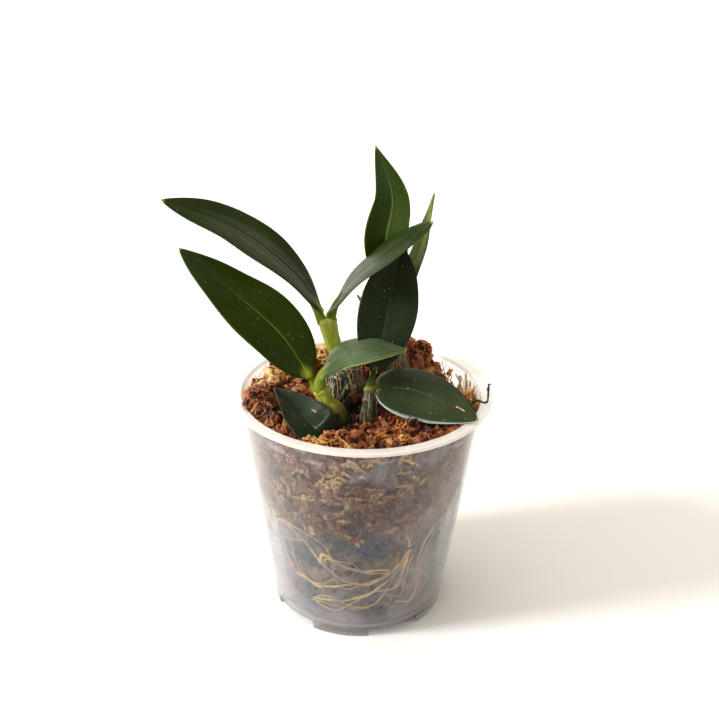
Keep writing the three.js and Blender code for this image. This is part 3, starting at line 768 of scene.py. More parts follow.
# %% Leaf values
LEAVES = {
    "leaf_upper_left": dict(
        spine=[(-14, 4, 108.4), (-24, 5, 122.7), (-43, 8, 136.4), (-66, 6, 146)],
        faces=[(0.8, -0.2, 0.5), (0.5, -0.3, 0.8), (0.4, -0.4, 0.8)],
        width=19.4, outline=(0.48, 0.83), fold=7, curl=-3, wave=0.3,
        sheath=[(-13.6, 4.2, 104.5), (-15.2, 4.3, 108.6), (-17.5, 4.8, 112.6), (-20.2, 5.2, 116)], foot=1.9),
    "leaf_upper_right": dict(
        spine=[(-11.6, 3.4, 107.6), (-2.9, 1, 121.6), (10.1, 0, 133.4), (22, 2, 141.4)],
        faces=[(-0.8, 0, 0.6), (-0.7, -0.1, 0.7), (-0.5, -0.3, 0.8)],
        width=16, outline=(0.49, 0.66), fold=4, curl=-5, wave=0.2,
        sheath=[(-11, 4.2, 104.8), (-10.1, 3.6, 109), (-8.8, 2.9, 112.6), (-6.8, 2.2, 116)], foot=1.8),
    "leaf_lower_left": dict(
        spine=[(-17.3, -11, 91.4), (-27.2, -10, 106.9), (-44.5, -5, 120.6), (-60.4, 2, 131)],
        faces=[(0.2, -1, 0.1), (0.3, -0.7, 0.7), (0.4, -0.3, 0.8)],
        width=20, outline=(0.42, 0.79), fold=4, curl=-5, wave=0.5,
        sheath=[(-15.2, -11, 86.4), (-16.5, -10.5, 89.8), (-18.4, -9.9, 92.8), (-21, -9.8, 96.4)], foot=1.5),
    "leaf_folded": dict(
        spine=[(-13.4, -13.2, 92.4), (-7.4, -14, 100.8), (2.3, -16, 104.8), (14.3, -16, 104.3)],
        faces=[(-0.8, -0.5, 0.4), (-0.4, -0.2, 0.9), (0.1, -0.1, 1)],
        width=14.8, outline=(0.52, 0.92), fold=7, curl=-29, wave=0.2,
        sheath=[(-13.9, -12.3, 87.4), (-13.8, -12.5, 90.8), (-12.4, -12.8, 94.4), (-9.8, -13.3, 98)],
        foot=2.3),
    "leaf_top": dict(
        spine=[(9.6, 12, 110), (7.3, 13, 130.3), (9.1, 15, 145.9), (3.1, 14, 162.9)],
        faces=[(0.4, -0.9, 0.1), (-0.1, -1, 0.2), (-0.1, -1, -0.1)],
        width=16, outline=(0.4, 0.97), fold=22, curl=8, wave=0.3,
        sheath=[(10.6, 12.2, 104.5), (10, 12.4, 109), (9, 12.6, 114), (8.4, 12.8, 118)], foot=1.8),
    "leaf_edge_on": dict(
        spine=[(12.8, 10.6, 110.9), (18.3, 9, 125.6), (21, 10, 136.1), (22.8, 13, 147.8)],
        faces=[(-0.9, -0.3, 0.3), (-0.9, -0.2, 0.3), (-1, 0, 0.1)],
        width=13.8, outline=(0.47, 0.82), fold=11, curl=-1, wave=0.2,
        sheath=[(11.8, 11.6, 104.5), (12.8, 11.2, 109), (14.4, 10.6, 113), (16, 10, 117)], foot=1.7),
    "leaf_young": dict(
        spine=[(9.6, 9.2, 98.5), (5.2, 5, 105), (0.8, 1.8, 110.5), (-1.9, 1, 116)],
        faces=[(0.6, -0.2, 0.8), (0.6, -0.2, 0.8), (0.8, -0.2, 0.5)],
        width=7, outline=(0.4, 0.9), fold=28, curl=10, wave=0.1,
        sheath=[(11.2, 10.4, 96), (9.4, 9, 99), (7.4, 7.2, 102), (6, 5.8, 104.4)], foot=1.2),
    "leaf_dark": dict(
        spine=[(4.3, -12, 94), (6.9, -9, 108), (9.2, -2, 119.2), (12.5, 6, 131.5)],
        faces=[(-0.2, -1, 0.2), (0.1, -0.8, 0.5), (0.4, -0.8, 0.4)],
        width=19.7, outline=(0.49, 0.73), fold=13, curl=1, wave=0.3,
        sheath=[(2.3, -14.1, 89), (3.5, -12.8, 92.4), (4.4, -11.6, 95.6), (5, -10.8, 99)], foot=1.4),
    "leaf_rim": dict(
        spine=[(4.4, -14.2, 89.6), (16.2, -14, 88.8), (25.8, -18, 86.9), (37.6, -24.6, 83.6)],
        faces=[(-0.1, -0.5, 0.9), (-0.1, -0.5, 0.8), (-0.1, -0.6, 0.8)],
        width=20, outline=(0.35, 0.84), fold=3, curl=-30, wave=0.2,
        sheath=[(2.6, -15.4, 89.2), (4.6, -14.8, 90), (7, -14, 89.6), (10, -13.6, 88.9)], foot=1.1),
    "leaf_on_moss": dict(
        spine=[(-6.4, -26, 76.8), (-14.2, -26, 79.3), (-21.1, -17, 81.3), (-29.5, -6, 84.6)],
        faces=[(0, -0.8, 0.6), (0.1, -0.2, 1), (0.4, 0.1, 0.9)],
        width=16.7, outline=(0.36, 0.66), fold=23, curl=5, wave=0.2,
        sheath=[(-6.4, -13.4, 75.4), (-5.6, -19, 74.8), (-7.4, -24.6, 76), (-12, -26.2, 78)], foot=1.6),
}
LEAF_STEPS = 72
LEAF_COLUMNS = 28
BLADE_THICKNESS = 0.7
EDGE_THICKNESS = 0.3
STALK_THICKNESS = 1.9
STALK_WIDTH = 3.4
STALK_SHARE = 0.16
KEEL = 0.35
SHEATH_END = 0.75
TIP_WIDTH = 0.4
RIB_WIDTH = 0.07
GROOVE_DEPTH = 0.12
GROOVE_WIDTH = 0.05
RIPPLES = 14


# %% Leaf shape
def leaf_shape(leaf):
    t = np.linspace(0, 1, LEAF_STEPS + 1)
    middle, along = spline(leaf["spine"], t)
    up, _ = spline(leaf["faces"], t, even=False)
    up = unit(up - along * np.sum(up * along, axis=1)[:, None])
    across = np.cross(along, up)
    widest, sharpness = leaf["outline"]
    fullness = sharpness * widest / (1 - widest)
    blade = leaf["width"] / 2 * (t / widest) ** fullness * ((1 - t) / (1 - widest)) ** sharpness
    half = np.maximum.reduce([blade, STALK_WIDTH / 2 * np.sqrt(1 - t), np.full(t.shape, TIP_WIDTH / 2)])
    body = STALK_THICKNESS + (BLADE_THICKNESS - STALK_THICKNESS) * smooth_step(t, 0, STALK_SHARE)
    s = np.linspace(-1, 1, LEAF_COLUMNS + 1)
    share = np.abs(s)
    lift = np.radians(leaf["fold"] + leaf["curl"] * share / 2)
    slope = np.radians(leaf["fold"] + leaf["curl"] * share) * np.sign(s)
    points = []
    for i in range(LEAF_STEPS + 1):
        ripple = leaf["wave"] * share**2 * np.sin(RIPPLES * t[i] + 2 * np.sign(s)) * math.sin(math.pi * t[i])
        surface = (middle[i] + np.outer(s * half[i] * np.cos(lift), across[i])
                   + np.outer(share * half[i] * np.sin(lift) + ripple, up[i]))
        normal = np.outer(np.cos(slope), up[i]) - np.outer(np.sin(slope), across[i])
        edge = min(body[i], EDGE_THICKNESS)
        thickness = (body[i] + (edge - body[i]) * share**3)[:, None] / 2
        rib = (KEEL * (1 - t[i]) * np.exp(-((s / RIB_WIDTH) ** 2)))[:, None]
        groove = (GROOVE_DEPTH * (1 - t[i]) * np.exp(-((s / GROOVE_WIDTH) ** 2)))[:, None]
        points += [surface + normal * (thickness - groove), (surface - normal * (thickness + rib))[::-1]]
    points = np.vstack(points)
    count = 2 * (LEAF_COLUMNS + 1)
    loop = np.concatenate([s, s[::-1]])
    below = np.repeat([0.0, 1.0], LEAF_COLUMNS + 1)
    faces = ring_faces(LEAF_STEPS + 1, count, caps=False)
    last = LEAF_STEPS * count
    for j in range(LEAF_COLUMNS):
        faces.append((count - 1 - j, count - 2 - j, j + 1, j))
        faces.append((last + j, last + j + 1, last + count - 2 - j, last + count - 1 - j))
    sheath, sheath_faces, marks = tube(
        leaf["sheath"], lambda u: leaf["foot"] + (SHEATH_END - leaf["foot"]) * u, 16, 16)
    first = len(points)
    faces += [tuple(first + k for k in face) for face in sheath_faces]
    values = {"along": np.concatenate([np.repeat(t, count), 0.06 * marks["along"]]),
              "across": np.concatenate([np.tile(loop, LEAF_STEPS + 1), np.full(len(sheath), 0.5)]),
              "under": np.concatenate([np.tile(below, LEAF_STEPS + 1), np.zeros(len(sheath))])}
    return np.vstack([points, sheath]), faces, values


# %% [markdown]
# The colour of a blade comes from one shader group with the leaf's own greens as inputs: fine
# parallel veins that run in at the tip, a pale midrib that fades towards the tip, a pale margin,
# a yellow-green base, a duller underside, and a painted sheen band beside the midrib. On some
# leaves the midrib, margin or base colour is painted light or shade instead, as noted at their
# colours. Each of these is a mask, and the colours are laid over one another through the masks,
# as thin coats of paint would be.

# %% The shader group "Leaf blade": inputs and masks
tree, given, result = group(
    "Leaf blade", "ShaderNodeTree",
    {"Deep": (0.01, 0.02, 0.005, 1.0), "Light": (0.05, 0.08, 0.02, 1.0), "Rib": (0.2, 0.25, 0.05, 1.0),
     "Base": (0.25, 0.3, 0.05, 1.0), "Margin": (0.2, 0.25, 0.05, 1.0), "Edge": (0.02, 0.04, 0.0, 1.0),
     "Bloom": (0.1, 0.1, 0.08, 1.0), "Rib width": 0.025, "Rib strength": 0.6, "Rib end": 0.9,
     "Base reach": 0.08, "Margin strength": 0.5, "Margin start": 0.95, "Margin side": 0.0,
     "Edge strength": 0.0, "Bloom strength": 0.0, "Bloom end": 0.7, "Bloom fade": -0.4, "Bloom lean": 0.0,
     "Vein strength": 0.3, "Dull": 0.0},
    {"Color": "NodeSocketColor", "Roughness": "NodeSocketFloat", "Height": "NodeSocketFloat"})
along = attribute(tree, "along")
across = attribute(tree, "across")
under = attribute(tree, "under")
off_rib = maths(tree, "ABSOLUTE", across)
vein_place = combined(tree, times(tree, across, 5.0), times(tree, along, 0.8))
veins = fade(tree, clouds(tree, vein_place, 2.2, 3.0, 0.65), 0.35, 0.65)
patches = mottle(tree, 110.0, 0.3)
edge_mask = times(tree, fade(tree, off_rib, 0.45, 1.0), given["Edge strength"])
# Painted sheen: a greyer band beside the midrib, streaked by the veins and fading along the blade.
leaning = plus(tree, off_rib, times(tree, across, given["Bloom lean"]))
sheen_start = plus(tree, given["Bloom end"], given["Bloom fade"])
sheen_mask = times(tree, fade(tree, leaning, 0.8, 0.2), fade(tree, along, given["Bloom end"], sheen_start))
sheen_mask = times(tree, sheen_mask, fade(tree, veins, 0.0, 1.0, 0.25, 1.0))
rib_mask = fade(tree, off_rib, given["Rib width"], 0.0)
rib_mask = times(tree, rib_mask, fade(tree, along, given["Rib end"], 0.1, 0.12, 1.0))
# Pale margin. Margin side keeps it to one edge; on leaf_rim it is there partly a pale margin and partly a
# painted highlight.
margin_mask = times(tree, fade(tree, off_rib, given["Margin start"], 1.0), given["Margin strength"])
this_side = fade(tree, times(tree, across, given["Margin side"]), -0.6, 0.0)
wavy = times(tree, maths(tree, "SUBTRACT", veins, 0.5), 0.03)
from_foot = plus(tree, along, wavy, times(tree, off_rib, 0.09))
dry_tip = fade(tree, along, 0.975, 0.995, 0.0, 0.7)

# %% The shader group "Leaf blade": colours laid over one another
DRY_TIP = (160, 168, 110)
DUST = (0.45, 0.47, 0.4, 1.0)
body = painted(
    tree, given["Deep"],
    (times(tree, patches, 0.6), given["Light"]),
    (times(tree, veins, given["Vein strength"]), given["Light"]),
    (times(tree, under, 0.45), given["Light"]),
    (edge_mask, given["Edge"]),
    # painted sheen band
    (times(tree, sheen_mask, given["Bloom strength"]), given["Bloom"]),
    (times(tree, rib_mask, given["Rib strength"]), given["Rib"]),
    (times(tree, margin_mask, this_side), given["Margin"]),
    # the base colour: yellow-green, or painted shade where a leaf gives a dark Base
    (fade(tree, from_foot, given["Base reach"], 0.02), given["Base"]),
    (dry_tip, srgb(*DRY_TIP)),
    (times(tree, specks(tree, 640.0, 0.09, 0.3), 0.8), DUST))
tree.links.new(body, result["Color"])
gloss = fade(tree, mottle(tree, 160.0, 0.5), 0.0, 1.0, 0.26, 0.4)
tree.links.new(plus(tree, gloss, given["Dull"]), result["Roughness"])
tree.links.new(plus(tree, veins, times(tree, rib_mask, 0.6)), result["Height"])
blade_tree = tree
print("Leaf blade:", len(tree.nodes), "nodes")

# %% Leaf colours and leaves
# Sheen is the colour of a painted sheen band beside the midrib.
LEAF_LOOKS = {
    # The dark Rib on this leaf is painted shade in the midrib's groove.
    "leaf_upper_left": dict(
        Deep=(22, 36, 4), Light=(44, 58, 14), Rib=(14, 20, 3), Margin=(70, 88, 30), Edge=(22, 36, 6),
        Edge_strength=0.7, Bloom=(96, 99, 84), Bloom_strength=0.72, Bloom_end=0.95, Bloom_fade=-0.6,
        Bloom_lean=0.4, Rib_width=0.08, Rib_strength=0.95, Rib_end=1.5, Dull=0.05, Base_reach=0.13,
        Gloss=0.09, Vein_strength=0.45),
    # The dark Rib on this leaf is painted shade in the midrib's groove.
    "leaf_upper_right": dict(
        Deep=(20, 34, 4), Light=(38, 52, 18), Rib=(10, 18, 4), Margin=(80, 94, 50), Edge=(24, 36, 12),
        Edge_strength=0.4, Bloom=(80, 88, 74), Bloom_strength=0.8, Bloom_end=0.66, Rib_width=0.1,
        Rib_strength=0.9, Base_reach=0.13, Gloss=0.09, Vein_strength=0.6),
    "leaf_lower_left": dict(
        Deep=(26, 40, 4), Light=(42, 56, 12), Rib=(124, 142, 40), Rib_strength=0.9, Margin=(100, 120, 60),
        Rib_end=0.8, Base_reach=0.11, Gloss=0.1, Bloom=(40, 56, 40), Bloom_strength=0.6, Bloom_end=0.5,
        Bloom_fade=0.4, Bloom_lean=0.3, Vein_strength=0.4),
    "leaf_folded": dict(
        Deep=(36, 52, 32), Light=(80, 94, 64), Rib=(112, 126, 72), Base=(126, 138, 40),
        Margin=(150, 164, 80), Margin_strength=0.8, Vein_strength=0.9, Base_reach=0.17,
        Bloom=(44, 60, 42), Bloom_strength=0.3, Bloom_end=1.0, Gloss=0.14),
    # The pale Rib on this leaf is partly the midrib's own colour and partly a painted highlight on the ridge
    # of its fold.
    "leaf_top": dict(
        Deep=(20, 40, 0), Light=(40, 60, 0), Rib=(108, 124, 76), Margin=(84, 112, 26), Edge=(36, 52, 4),
        Edge_strength=0.6, Rib_width=0.1, Rib_strength=0.95, Rib_end=1.8, Bloom=(60, 72, 40),
        Bloom_strength=0.55, Bloom_end=0.4, Bloom_fade=0.4, Vein_strength=0.5),
    "leaf_edge_on": dict(
        Deep=(56, 74, 8), Light=(98, 116, 30), Rib=(110, 124, 50), Margin=(120, 136, 50), Gloss=0.05,
        Dull=0.1),
    "leaf_young": dict(
        Deep=(150, 170, 40), Light=(190, 200, 70), Rib=(200, 208, 90), Margin=(170, 180, 70)),
    "leaf_dark": dict(
        Deep=(12, 20, 9), Light=(30, 40, 24), Rib=(84, 100, 80), Margin=(50, 60, 34), Rib_width=0.02,
        Rib_strength=0.75, Rib_end=0.75, Gloss=0.15, Bloom=(28, 40, 32), Bloom_strength=0.7,
        Bloom_end=0.6, Vein_strength=0.4),
    # On this leaf the bluish-white margin along one edge is partly a pale margin and partly a painted
    # highlight, and the bluish-white midrib is a painted highlight.
    "leaf_rim": dict(
        Deep=(36, 46, 26), Light=(60, 70, 44), Rib=(124, 144, 148), Margin=(196, 214, 214),
        Margin_strength=0.95, Margin_start=0.86, Margin_side=1.0, Rib_width=0.02, Rib_strength=0.8,
        Rib_end=0.7),
    # The near-black Base on this leaf is painted shade over its stalk half.
    "leaf_on_moss": dict(
        Deep=(16, 26, 16), Light=(40, 52, 40), Rib=(24, 32, 20), Margin=(60, 70, 50), Base=(8, 11, 6),
        Base_reach=0.55, Gloss=0.13, Dull=-0.08),
}
LEAF_BASE = (146, 160, 44)
WAXY_SHINE = (0.9, 1.0, 0.6, 1.0)


def leaf_material(name, look):
    values = {title.replace("_", " "): srgb(*value) if isinstance(value, tuple) else value
              for title, value in look.items()}
    gloss = values.pop("Gloss", 0.18)
    values.setdefault("Base", srgb(*LEAF_BASE))
    values.setdefault("Margin", values["Rib"])

    def blade(tree):
        found = [n for n in tree.nodes if n.type == "GROUP" and n.node_tree == blade_tree]
        return (found[0] if found else node(tree, "ShaderNodeGroup", values, node_tree=blade_tree)).outputs

    return principled(
        name, base=lambda tree: blade(tree)["Color"], roughness=lambda tree: blade(tree)["Roughness"],
        Normal=lambda tree: rough_skin(tree, blade(tree)["Height"], 0.25, 0.00015),
        Specular_IOR_Level=gloss, Specular_Tint=WAXY_SHINE)


for name, leaf in LEAVES.items():
    points, faces, values = leaf_shape(leaf)
    piece(name + "_blade", points, faces, leaf_material(name, LEAF_LOOKS[name]), name, values)

# %% [markdown]
# ## Canes
# A cane is a swollen pseudobulb with a narrower neck. Old sheaths dry to tan fibres that stay on the
# bulb, with dark green skin between them, while the neck stays yellow-green up to the fork of the
# leaves. Each node of the cane is a ring. The colours run along the cane, so one material takes a
# row of colour stops, and the fibres are real strands laid along the ribs.

# %% Cane values
CANES = {
    "cane_large": dict(
        spine=[(-4.4, -0.4, 72.5), (-5.4, -0.2, 82), (-7, 1.4, 90), (-10.2, 3, 98.5), (-12.3, 4.2, 106.5)],
        girth=[(0, 3.2), (0.1, 5.6), (0.27, 6.9), (0.4, 6.2), (0.52, 3.9), (0.58, 2.7), (0.61, 2.95),
               (0.65, 2.45), (0.8, 2.65), (0.93, 3), (0.965, 3.3), (1, 2.6)],
        ribs=6, rib_depth=0.05),
    "cane_front": dict(
        spine=[(-6, -13, 73), (-8, -12.6, 78.5), (-12, -12.2, 83.8), (-14.2, -11.8, 88.4)],
        girth=[(0, 2.4), (0.2, 3.4), (0.42, 3.5), (0.68, 2.7), (0.84, 2.5), (0.92, 2.8), (1, 2.1)],
        ribs=5, rib_depth=0.03),
    "cane_small": dict(
        spine=[(2.4, -17.6, 72.5), (2.6, -17.4, 78), (2.4, -16.6, 84.5), (2.4, -14.6, 90.3)],
        girth=[(0, 1.8), (0.2, 2.8), (0.45, 3), (0.74, 2.3), (0.88, 1.6), (0.94, 1.85), (1, 1.3)],
        ribs=5, rib_depth=0.05),
    "cane_hidden": dict(
        spine=[(12, 8, 72.5), (13, 9.5, 84), (12, 11.3, 96), (11.2, 12, 106)],
        girth=[(0, 2.4), (0.18, 4.4), (0.36, 4.6), (0.58, 2.9), (0.66, 2.5), (0.7, 2.8), (0.74, 2.4),
               (0.95, 2.6), (1, 1.9)],
        ribs=5, rib_depth=0.04),
}
CANE_SIDES = 48
CANE_RINGS = 110

# %% Cane material
DARK_SKIN = (26, 32, 16)
GREEN_SKIN = (58, 70, 30)
SHEATH_BROWN = (120, 98, 62)
SHEATH_TAN = (168, 142, 100)
NODE_BROWN = (84, 60, 36)
NECK_GREEN = (154, 170, 38)
CANE_STOPS = {
    "cane_large": [(0.0, DARK_SKIN), (0.46, DARK_SKIN), (0.53, SHEATH_BROWN), (0.58, SHEATH_TAN),
                   (0.6, NODE_BROWN), (0.63, NECK_GREEN), (0.9, (166, 174, 40)), (1.0, (172, 180, 66))],
    "cane_front": [(0.0, (46, 42, 18)), (0.25, (80, 76, 26)), (0.45, (122, 124, 34)), (0.84, (156, 162, 40)),
                   (0.9, (192, 194, 100)), (0.93, (154, 160, 36)), (1.0, (152, 160, 40))],
    "cane_small": [(0.0, (20, 26, 12)), (0.45, (34, 42, 22)), (0.72, (36, 40, 22)), (0.88, (76, 60, 34)),
                   (0.95, (112, 116, 40)), (1.0, (124, 134, 44))],
    "cane_hidden": [(0.0, DARK_SKIN), (0.4, GREEN_SKIN), (0.6, SHEATH_BROWN), (0.7, NODE_BROWN),
                    (0.76, NECK_GREEN), (1.0, (100, 114, 40))],
}
STREAK_SCALE = (1500.0, 1500.0, 170.0)
WHITE_STREAKS = {"cane_large": 1.0, "cane_front": 0.12, "cane_small": 0.18, "cane_hidden": 0.4}


def cane_base(stops, white):
    def base(tree):
        along = attribute(tree, "along")
        body = ramp(tree, along, stops)
        stretched = node(tree, "ShaderNodeMapping", {"Vector": here(tree), "Scale": STREAK_SCALE}).outputs[0]
        streaks = clouds(tree, stretched, 1.0, 3.0)
        light = mixed(tree, 0.75, body, srgb(216, 206, 166))
        dark = mixed(tree, 0.5, body, srgb(14, 16, 8))
        # Pale streaks: tan fibres on the bulb, and painted highlight streaks on the neck.
        on_bulb = fade(tree, along, 0.64, 0.56, 0.2, white)
        return painted(tree, body, (times(tree, fade(tree, streaks, 0.52, 0.62), on_bulb), light),
                       (fade(tree, streaks, 0.44, 0.34, 0.0, 0.7), dark),
                       # painted shade in the grooves between the ribs
                       (fade(tree, attribute(tree, "rib"), -0.7, -1.0, 0.0, 0.5), dark))
    return base


for name, cane in CANES.items():
    material = principled(
        name, base=cane_base(CANE_STOPS[name], WHITE_STREAKS[name]), roughness=between(300.0, 0.32, 0.5),
        Normal=bumpy(500.0, 0.35, 0.0003, 0.6), Specular_IOR_Level=0.3)
    points, faces, values = tube(cane["spine"], lambda t: profile(cane["girth"], t), CANE_SIDES, CANE_RINGS,
                                 cane["ribs"], cane["rib_depth"])
    piece(name + "_skin", points, faces, material, name, values)

# %% [markdown]
# ## Fibres on the bulbs
# Thin tan fibres follow each bulb from foot to neck, wander a little to the side, and stand just
# proud of the skin. Their lines come from the cane's own line and girth.

# %% Fibre lines
FIBRE_STEPS = 24
FIBRE_LEAST = 0.15
FIBRE_PROUD = 0.06


def fibre_runs(cane, count, span, girth, seed):
    rng = np.random.default_rng(seed)
    runs = []
    for k in range(count):
        start, end = sorted(rng.uniform(*span, 2))
        if end - start < FIBRE_LEAST:
            continue
        t = np.linspace(start, end, FIBRE_STEPS)
        middle, along = spline(cane["spine"], t)
        angle = 2 * math.pi * (k + rng.uniform(-0.3, 0.3)) / count
        angle = angle + rng.uniform(-0.5, 0.5) * np.sin(3 * t + k)
        across = unit(SIDEWAYS - along * (along @ SIDEWAYS)[:, None])
        other = np.cross(along, across)
        ribbed = 1 + cane["rib_depth"] * np.cos(cane["ribs"] * angle)
        reach = profile(cane["girth"], t) * ribbed + FIBRE_PROUD
        points = middle + (reach * np.cos(angle))[:, None] * across + (reach * np.sin(angle))[:, None] * other
        runs.append((points, girth * (0.5 + np.sin(math.pi * np.linspace(0, 1, FIBRE_STEPS)))))
    return runs


fibre_material = principled("dry_fibre", base=tones(400.0, (184, 158, 112), (122, 92, 56)), roughness=0.7,
                            Normal=bumpy(1500.0, 0.3, 0.0001))
strands("bulb_fibres", fibre_runs(CANES["cane_large"], 84, (0.03, 0.6), 0.14, 3)
        + fibre_runs(CANES["cane_small"], 9, (0.05, 0.92), 0.1, 4)
        + fibre_runs(CANES["cane_hidden"], 16, (0.05, 0.7), 0.12, 5),
        fibre_material, "cane_green", Step=0.0008, Sides=5, Unevenness=0.6, Seed=4)

# %% [markdown]
# ## Roots
# Aerial roots grow from the creeping stem under the moss, reach the wall and run along it. Their
# spongy skin is tan to cream, a little uneven, and they taper towards their tips. One fine rootlet
# wanders beside each root, just inside the wall. All of them are lines that "Strands" turns into
# tubes; where a root lies on the wall, its points are given by angle and height.

# %% Root lines
ROOT_RADIUS = 0.75
ROOT_TO_WALL = 1.3
ROOT_STEPS = 160
ROOTLET_STEPS = 90
ROOTLET_TO_WALL = 1.0
RHIZOME_RADIUS = 2.1
RHIZOME_RUNS = [
    [(-6, -13, 71), (-6, -7, 70.4), (-4.4, -0.4, 70.8)],
    [(-4.4, -0.4, 70.8), (4, 4, 69.8), (12, 8, 70.8)],
    [(-6, -13, 71), (-2, -16, 70.4), (2.4, -17.6, 70.8)],
]
ROOTS = [
    ([RHIZOME_RUNS[0][0], (-22, -14, 62), (-29, -16, 52)],
     [(-66, 39), (-46, 42), (-33, 38.5), (-23, 31.5), (-9, 25), (0, 23.5), (10, 23.5), (22, 28.5), (31, 36)]),
    ([], [(-66, 39), (-76, 33), (-79, 27), (-64, 29), (-52, 34), (-40, 37), (-33, 38.5)]),
    ([], [(-23, 31.5), (-21, 35), (-7, 30.5), (8, 29.5), (22, 28.5)]),
    ([], [(-52, 34), (-48, 28), (-44, 22), (-35, 21), (-25, 19.5), (-13, 21.5), (0, 23.5)]),
    ([RHIZOME_RUNS[2][2], (6, -21, 58), (13, -26, 47)],
     [(31, 36), (23, 27), (9, 19.5), (-9, 15), (-30, 13), (-17, 9.5), (-5, 13.5), (9, 19.5)]),
    ([], [(31, 36), (28, 27), (23, 20), (9, 19.5)]),
    ([RHIZOME_RUNS[1][2], (25, 6, 63), (32, 6, 54)],
     [(84, 48), (60, 45), (44, 39), (38, 30), (42, 20), (37, 11), (24, 13)]),
    ([RHIZOME_RUNS[0][2], (-2, 14, 62), (2, 27, 53)],
     [(172, 44), (158, 36), (150, 26), (160, 17), (178, 15), (196, 21)]),
    ([], [(158, 36), (140, 35), (122, 28), (108, 30), (96, 24)]),
    ([], [(172, 44), (200, 38), (216, 29), (232, 27), (246, 20)]),
]


def on_wall(degrees, z, inset=0.35):
    """A point just inside the wall, at an angle to the right of the front."""
    turn = math.radians(degrees - 90)
    radius = inner_radius(z) - inset
    return (radius * math.cos(turn), radius * math.sin(turn), z)


root_runs = []
rootlet_runs = []
for k, (start, wall) in enumerate(ROOTS):
    at_wall = [on_wall(*p, ROOT_TO_WALL) for p in wall]
    points, radii = smooth_run(start + at_wall, ROOT_RADIUS * np.linspace(0.8, 0.34, ROOT_STEPS))
    root_runs.append((points + wander(points, 0.5, 5, (1, 2, 3)), radii))
    middle, _ = spline(at_wall, np.linspace(0.08, 1, ROOTLET_STEPS))
    aside = wander(middle, 8, 14, [40 + k + 60 * axis for axis in range(3)])
    points = middle + aside + wander(middle, 0.4, 2.5, [40 + k + axis for axis in range(3)])
    reach = inner_radius(points[:, 2]) - ROOTLET_TO_WALL
    points[:, :2] *= (reach / np.hypot(points[:, 0], points[:, 1]))[:, None]
    rootlet_runs.append((points, np.linspace(0.24, 0.11, ROOTLET_STEPS)))
root_points = np.vstack([points for points, _ in root_runs])
swelling = 0.35 * np.cos(6 * math.pi * np.linspace(0, 1, 30))
root_runs += [smooth_run(run, RHIZOME_RADIUS + swelling) for run in RHIZOME_RUNS]

root_material = principled(
    "root_skin",
    base=lambda tree: painted(tree, tones(260.0, (224, 196, 136), (196, 162, 106))(tree),
                              (fade(tree, mottle(tree, 100.0), 0.4, 0.75), srgb(158, 144, 122))),
    roughness=0.65, Normal=bumpy(900.0, 0.4, 0.0002))
strands("roots_smooth", root_runs, root_material, "roots", "rhizome_and_roots", Sides=12, Unevenness=0.25)
strands("rootlets", rootlet_runs, root_material, "roots", Sides=6, Step=0.0008, Unevenness=0.4, Seed=5)

# %% [markdown]
# ## Moss bed
# The bed is damp red-brown sphagnum and bark crumbs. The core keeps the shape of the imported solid:
# a rugged top, a face pressed to the upper wall and a lower part drawn in from it. On it lie
# clods, bent chips, curled threads and crumbs, strewn by the tree "Scatter", and a few larger
# crumpled scraps. Where the bed touches the wall, flat flakes and threads are pressed against it.

# %% Moss values
MOSS_FACE_BOTTOM = 46
MOSS_EDGE_HEIGHT = 77.5
# Mounds and hollows: (place across and deep), rise, spread, in mm.
MOUNDS = [((0, 0), 5, 24), ((17, 17), 12, 7.5), ((-26, 9), 4.5, 9), ((-41, -6), 4, 8), ((-12, 17), 4.5, 6),
          ((-11, -31), 1.5, 5), ((14, -31), 0, 9), ((36, 18), -8, 9), ((-1, -13), -3.5, 5),
          ((3, -23), -2.5, 5), ((-38, 14), -6, 6), ((-42, -2), -3.5, 6), ((31, 21), -3, 5)]


def moss_height(x, y):
    z = MOSS_EDGE_HEIGHT + sum(rise * np.exp(-((x - a) ** 2 + (y - b) ** 2) / (2 * spread**2))
                               for (a, b), rise, spread in MOUNDS)
    coarse = np.sin(0.62 * x + 1.3 * np.sin(0.41 * y)) * np.cos(0.55 * y - 0.2 * x)
    creases = np.abs(np.sin(1.15 * x + 0.7 * y)) * np.abs(np.cos(0.8 * x - 1.3 * y))
    return z + coarse + 2.2 * (creases - 0.3)


# %% Where the moss presses on the wall
# Clumps on the wall: (degrees to the right of the front, height), spread both ways, how dense, tone.
WALL_CLUMPS = [
    ((-33, 71.5), (5, 3), 1.1, 0.1), ((-24, 63), (10, 5), 0.9, 0.28), ((-4, 60), (13, 5.5), 0.9, 0.06),
    ((-20, 53), (20, 5), 1.0, -0.16), ((5, 51), (17, 5), 1.1, -0.14), ((20, 54), (9, 5), 0.85, -0.2),
    ((36, 56), (7, 5), 0.6, -0.25), ((22, 71), (3, 6), 1.0, 0.12), ((-62, 50), (12, 7), 0.8, -0.2),
    ((-3, 76), (8, 3), 0.7, 0.2), ((-14, 70), (7, 3.5), 0.75, 0.3), ((46, 66), (12, 7), 0.72, -0.22),
    ((-52, 67), (9, 8), 0.75, -0.2), ((98, 76), (9, 3.5), 1.2, 0.2), ((112, 75), (8, 3), 1.0, 0.1),
    ((127, 78), (3, 4), 1.0, 0.25)]


def pressed(points, seed=2.0):
    """How firmly moss presses on the wall at each point: dense above zero."""
    degrees = degrees_round(points)
    clumps = sum(weight * np.exp(-(((degrees - a) / wide) ** 2 + ((points[:, 2] - z) / tall) ** 2) / 2)
                 for (a, z), (wide, tall), weight, _ in WALL_CLUMPS)
    elsewhere = smooth_step(np.abs(degrees), 70, 110) * 0.5
    return clumps + elsewhere - 0.5 + 0.5 * rough(points, 6, seed) + 0.35 * rough(points, 2.4, seed)


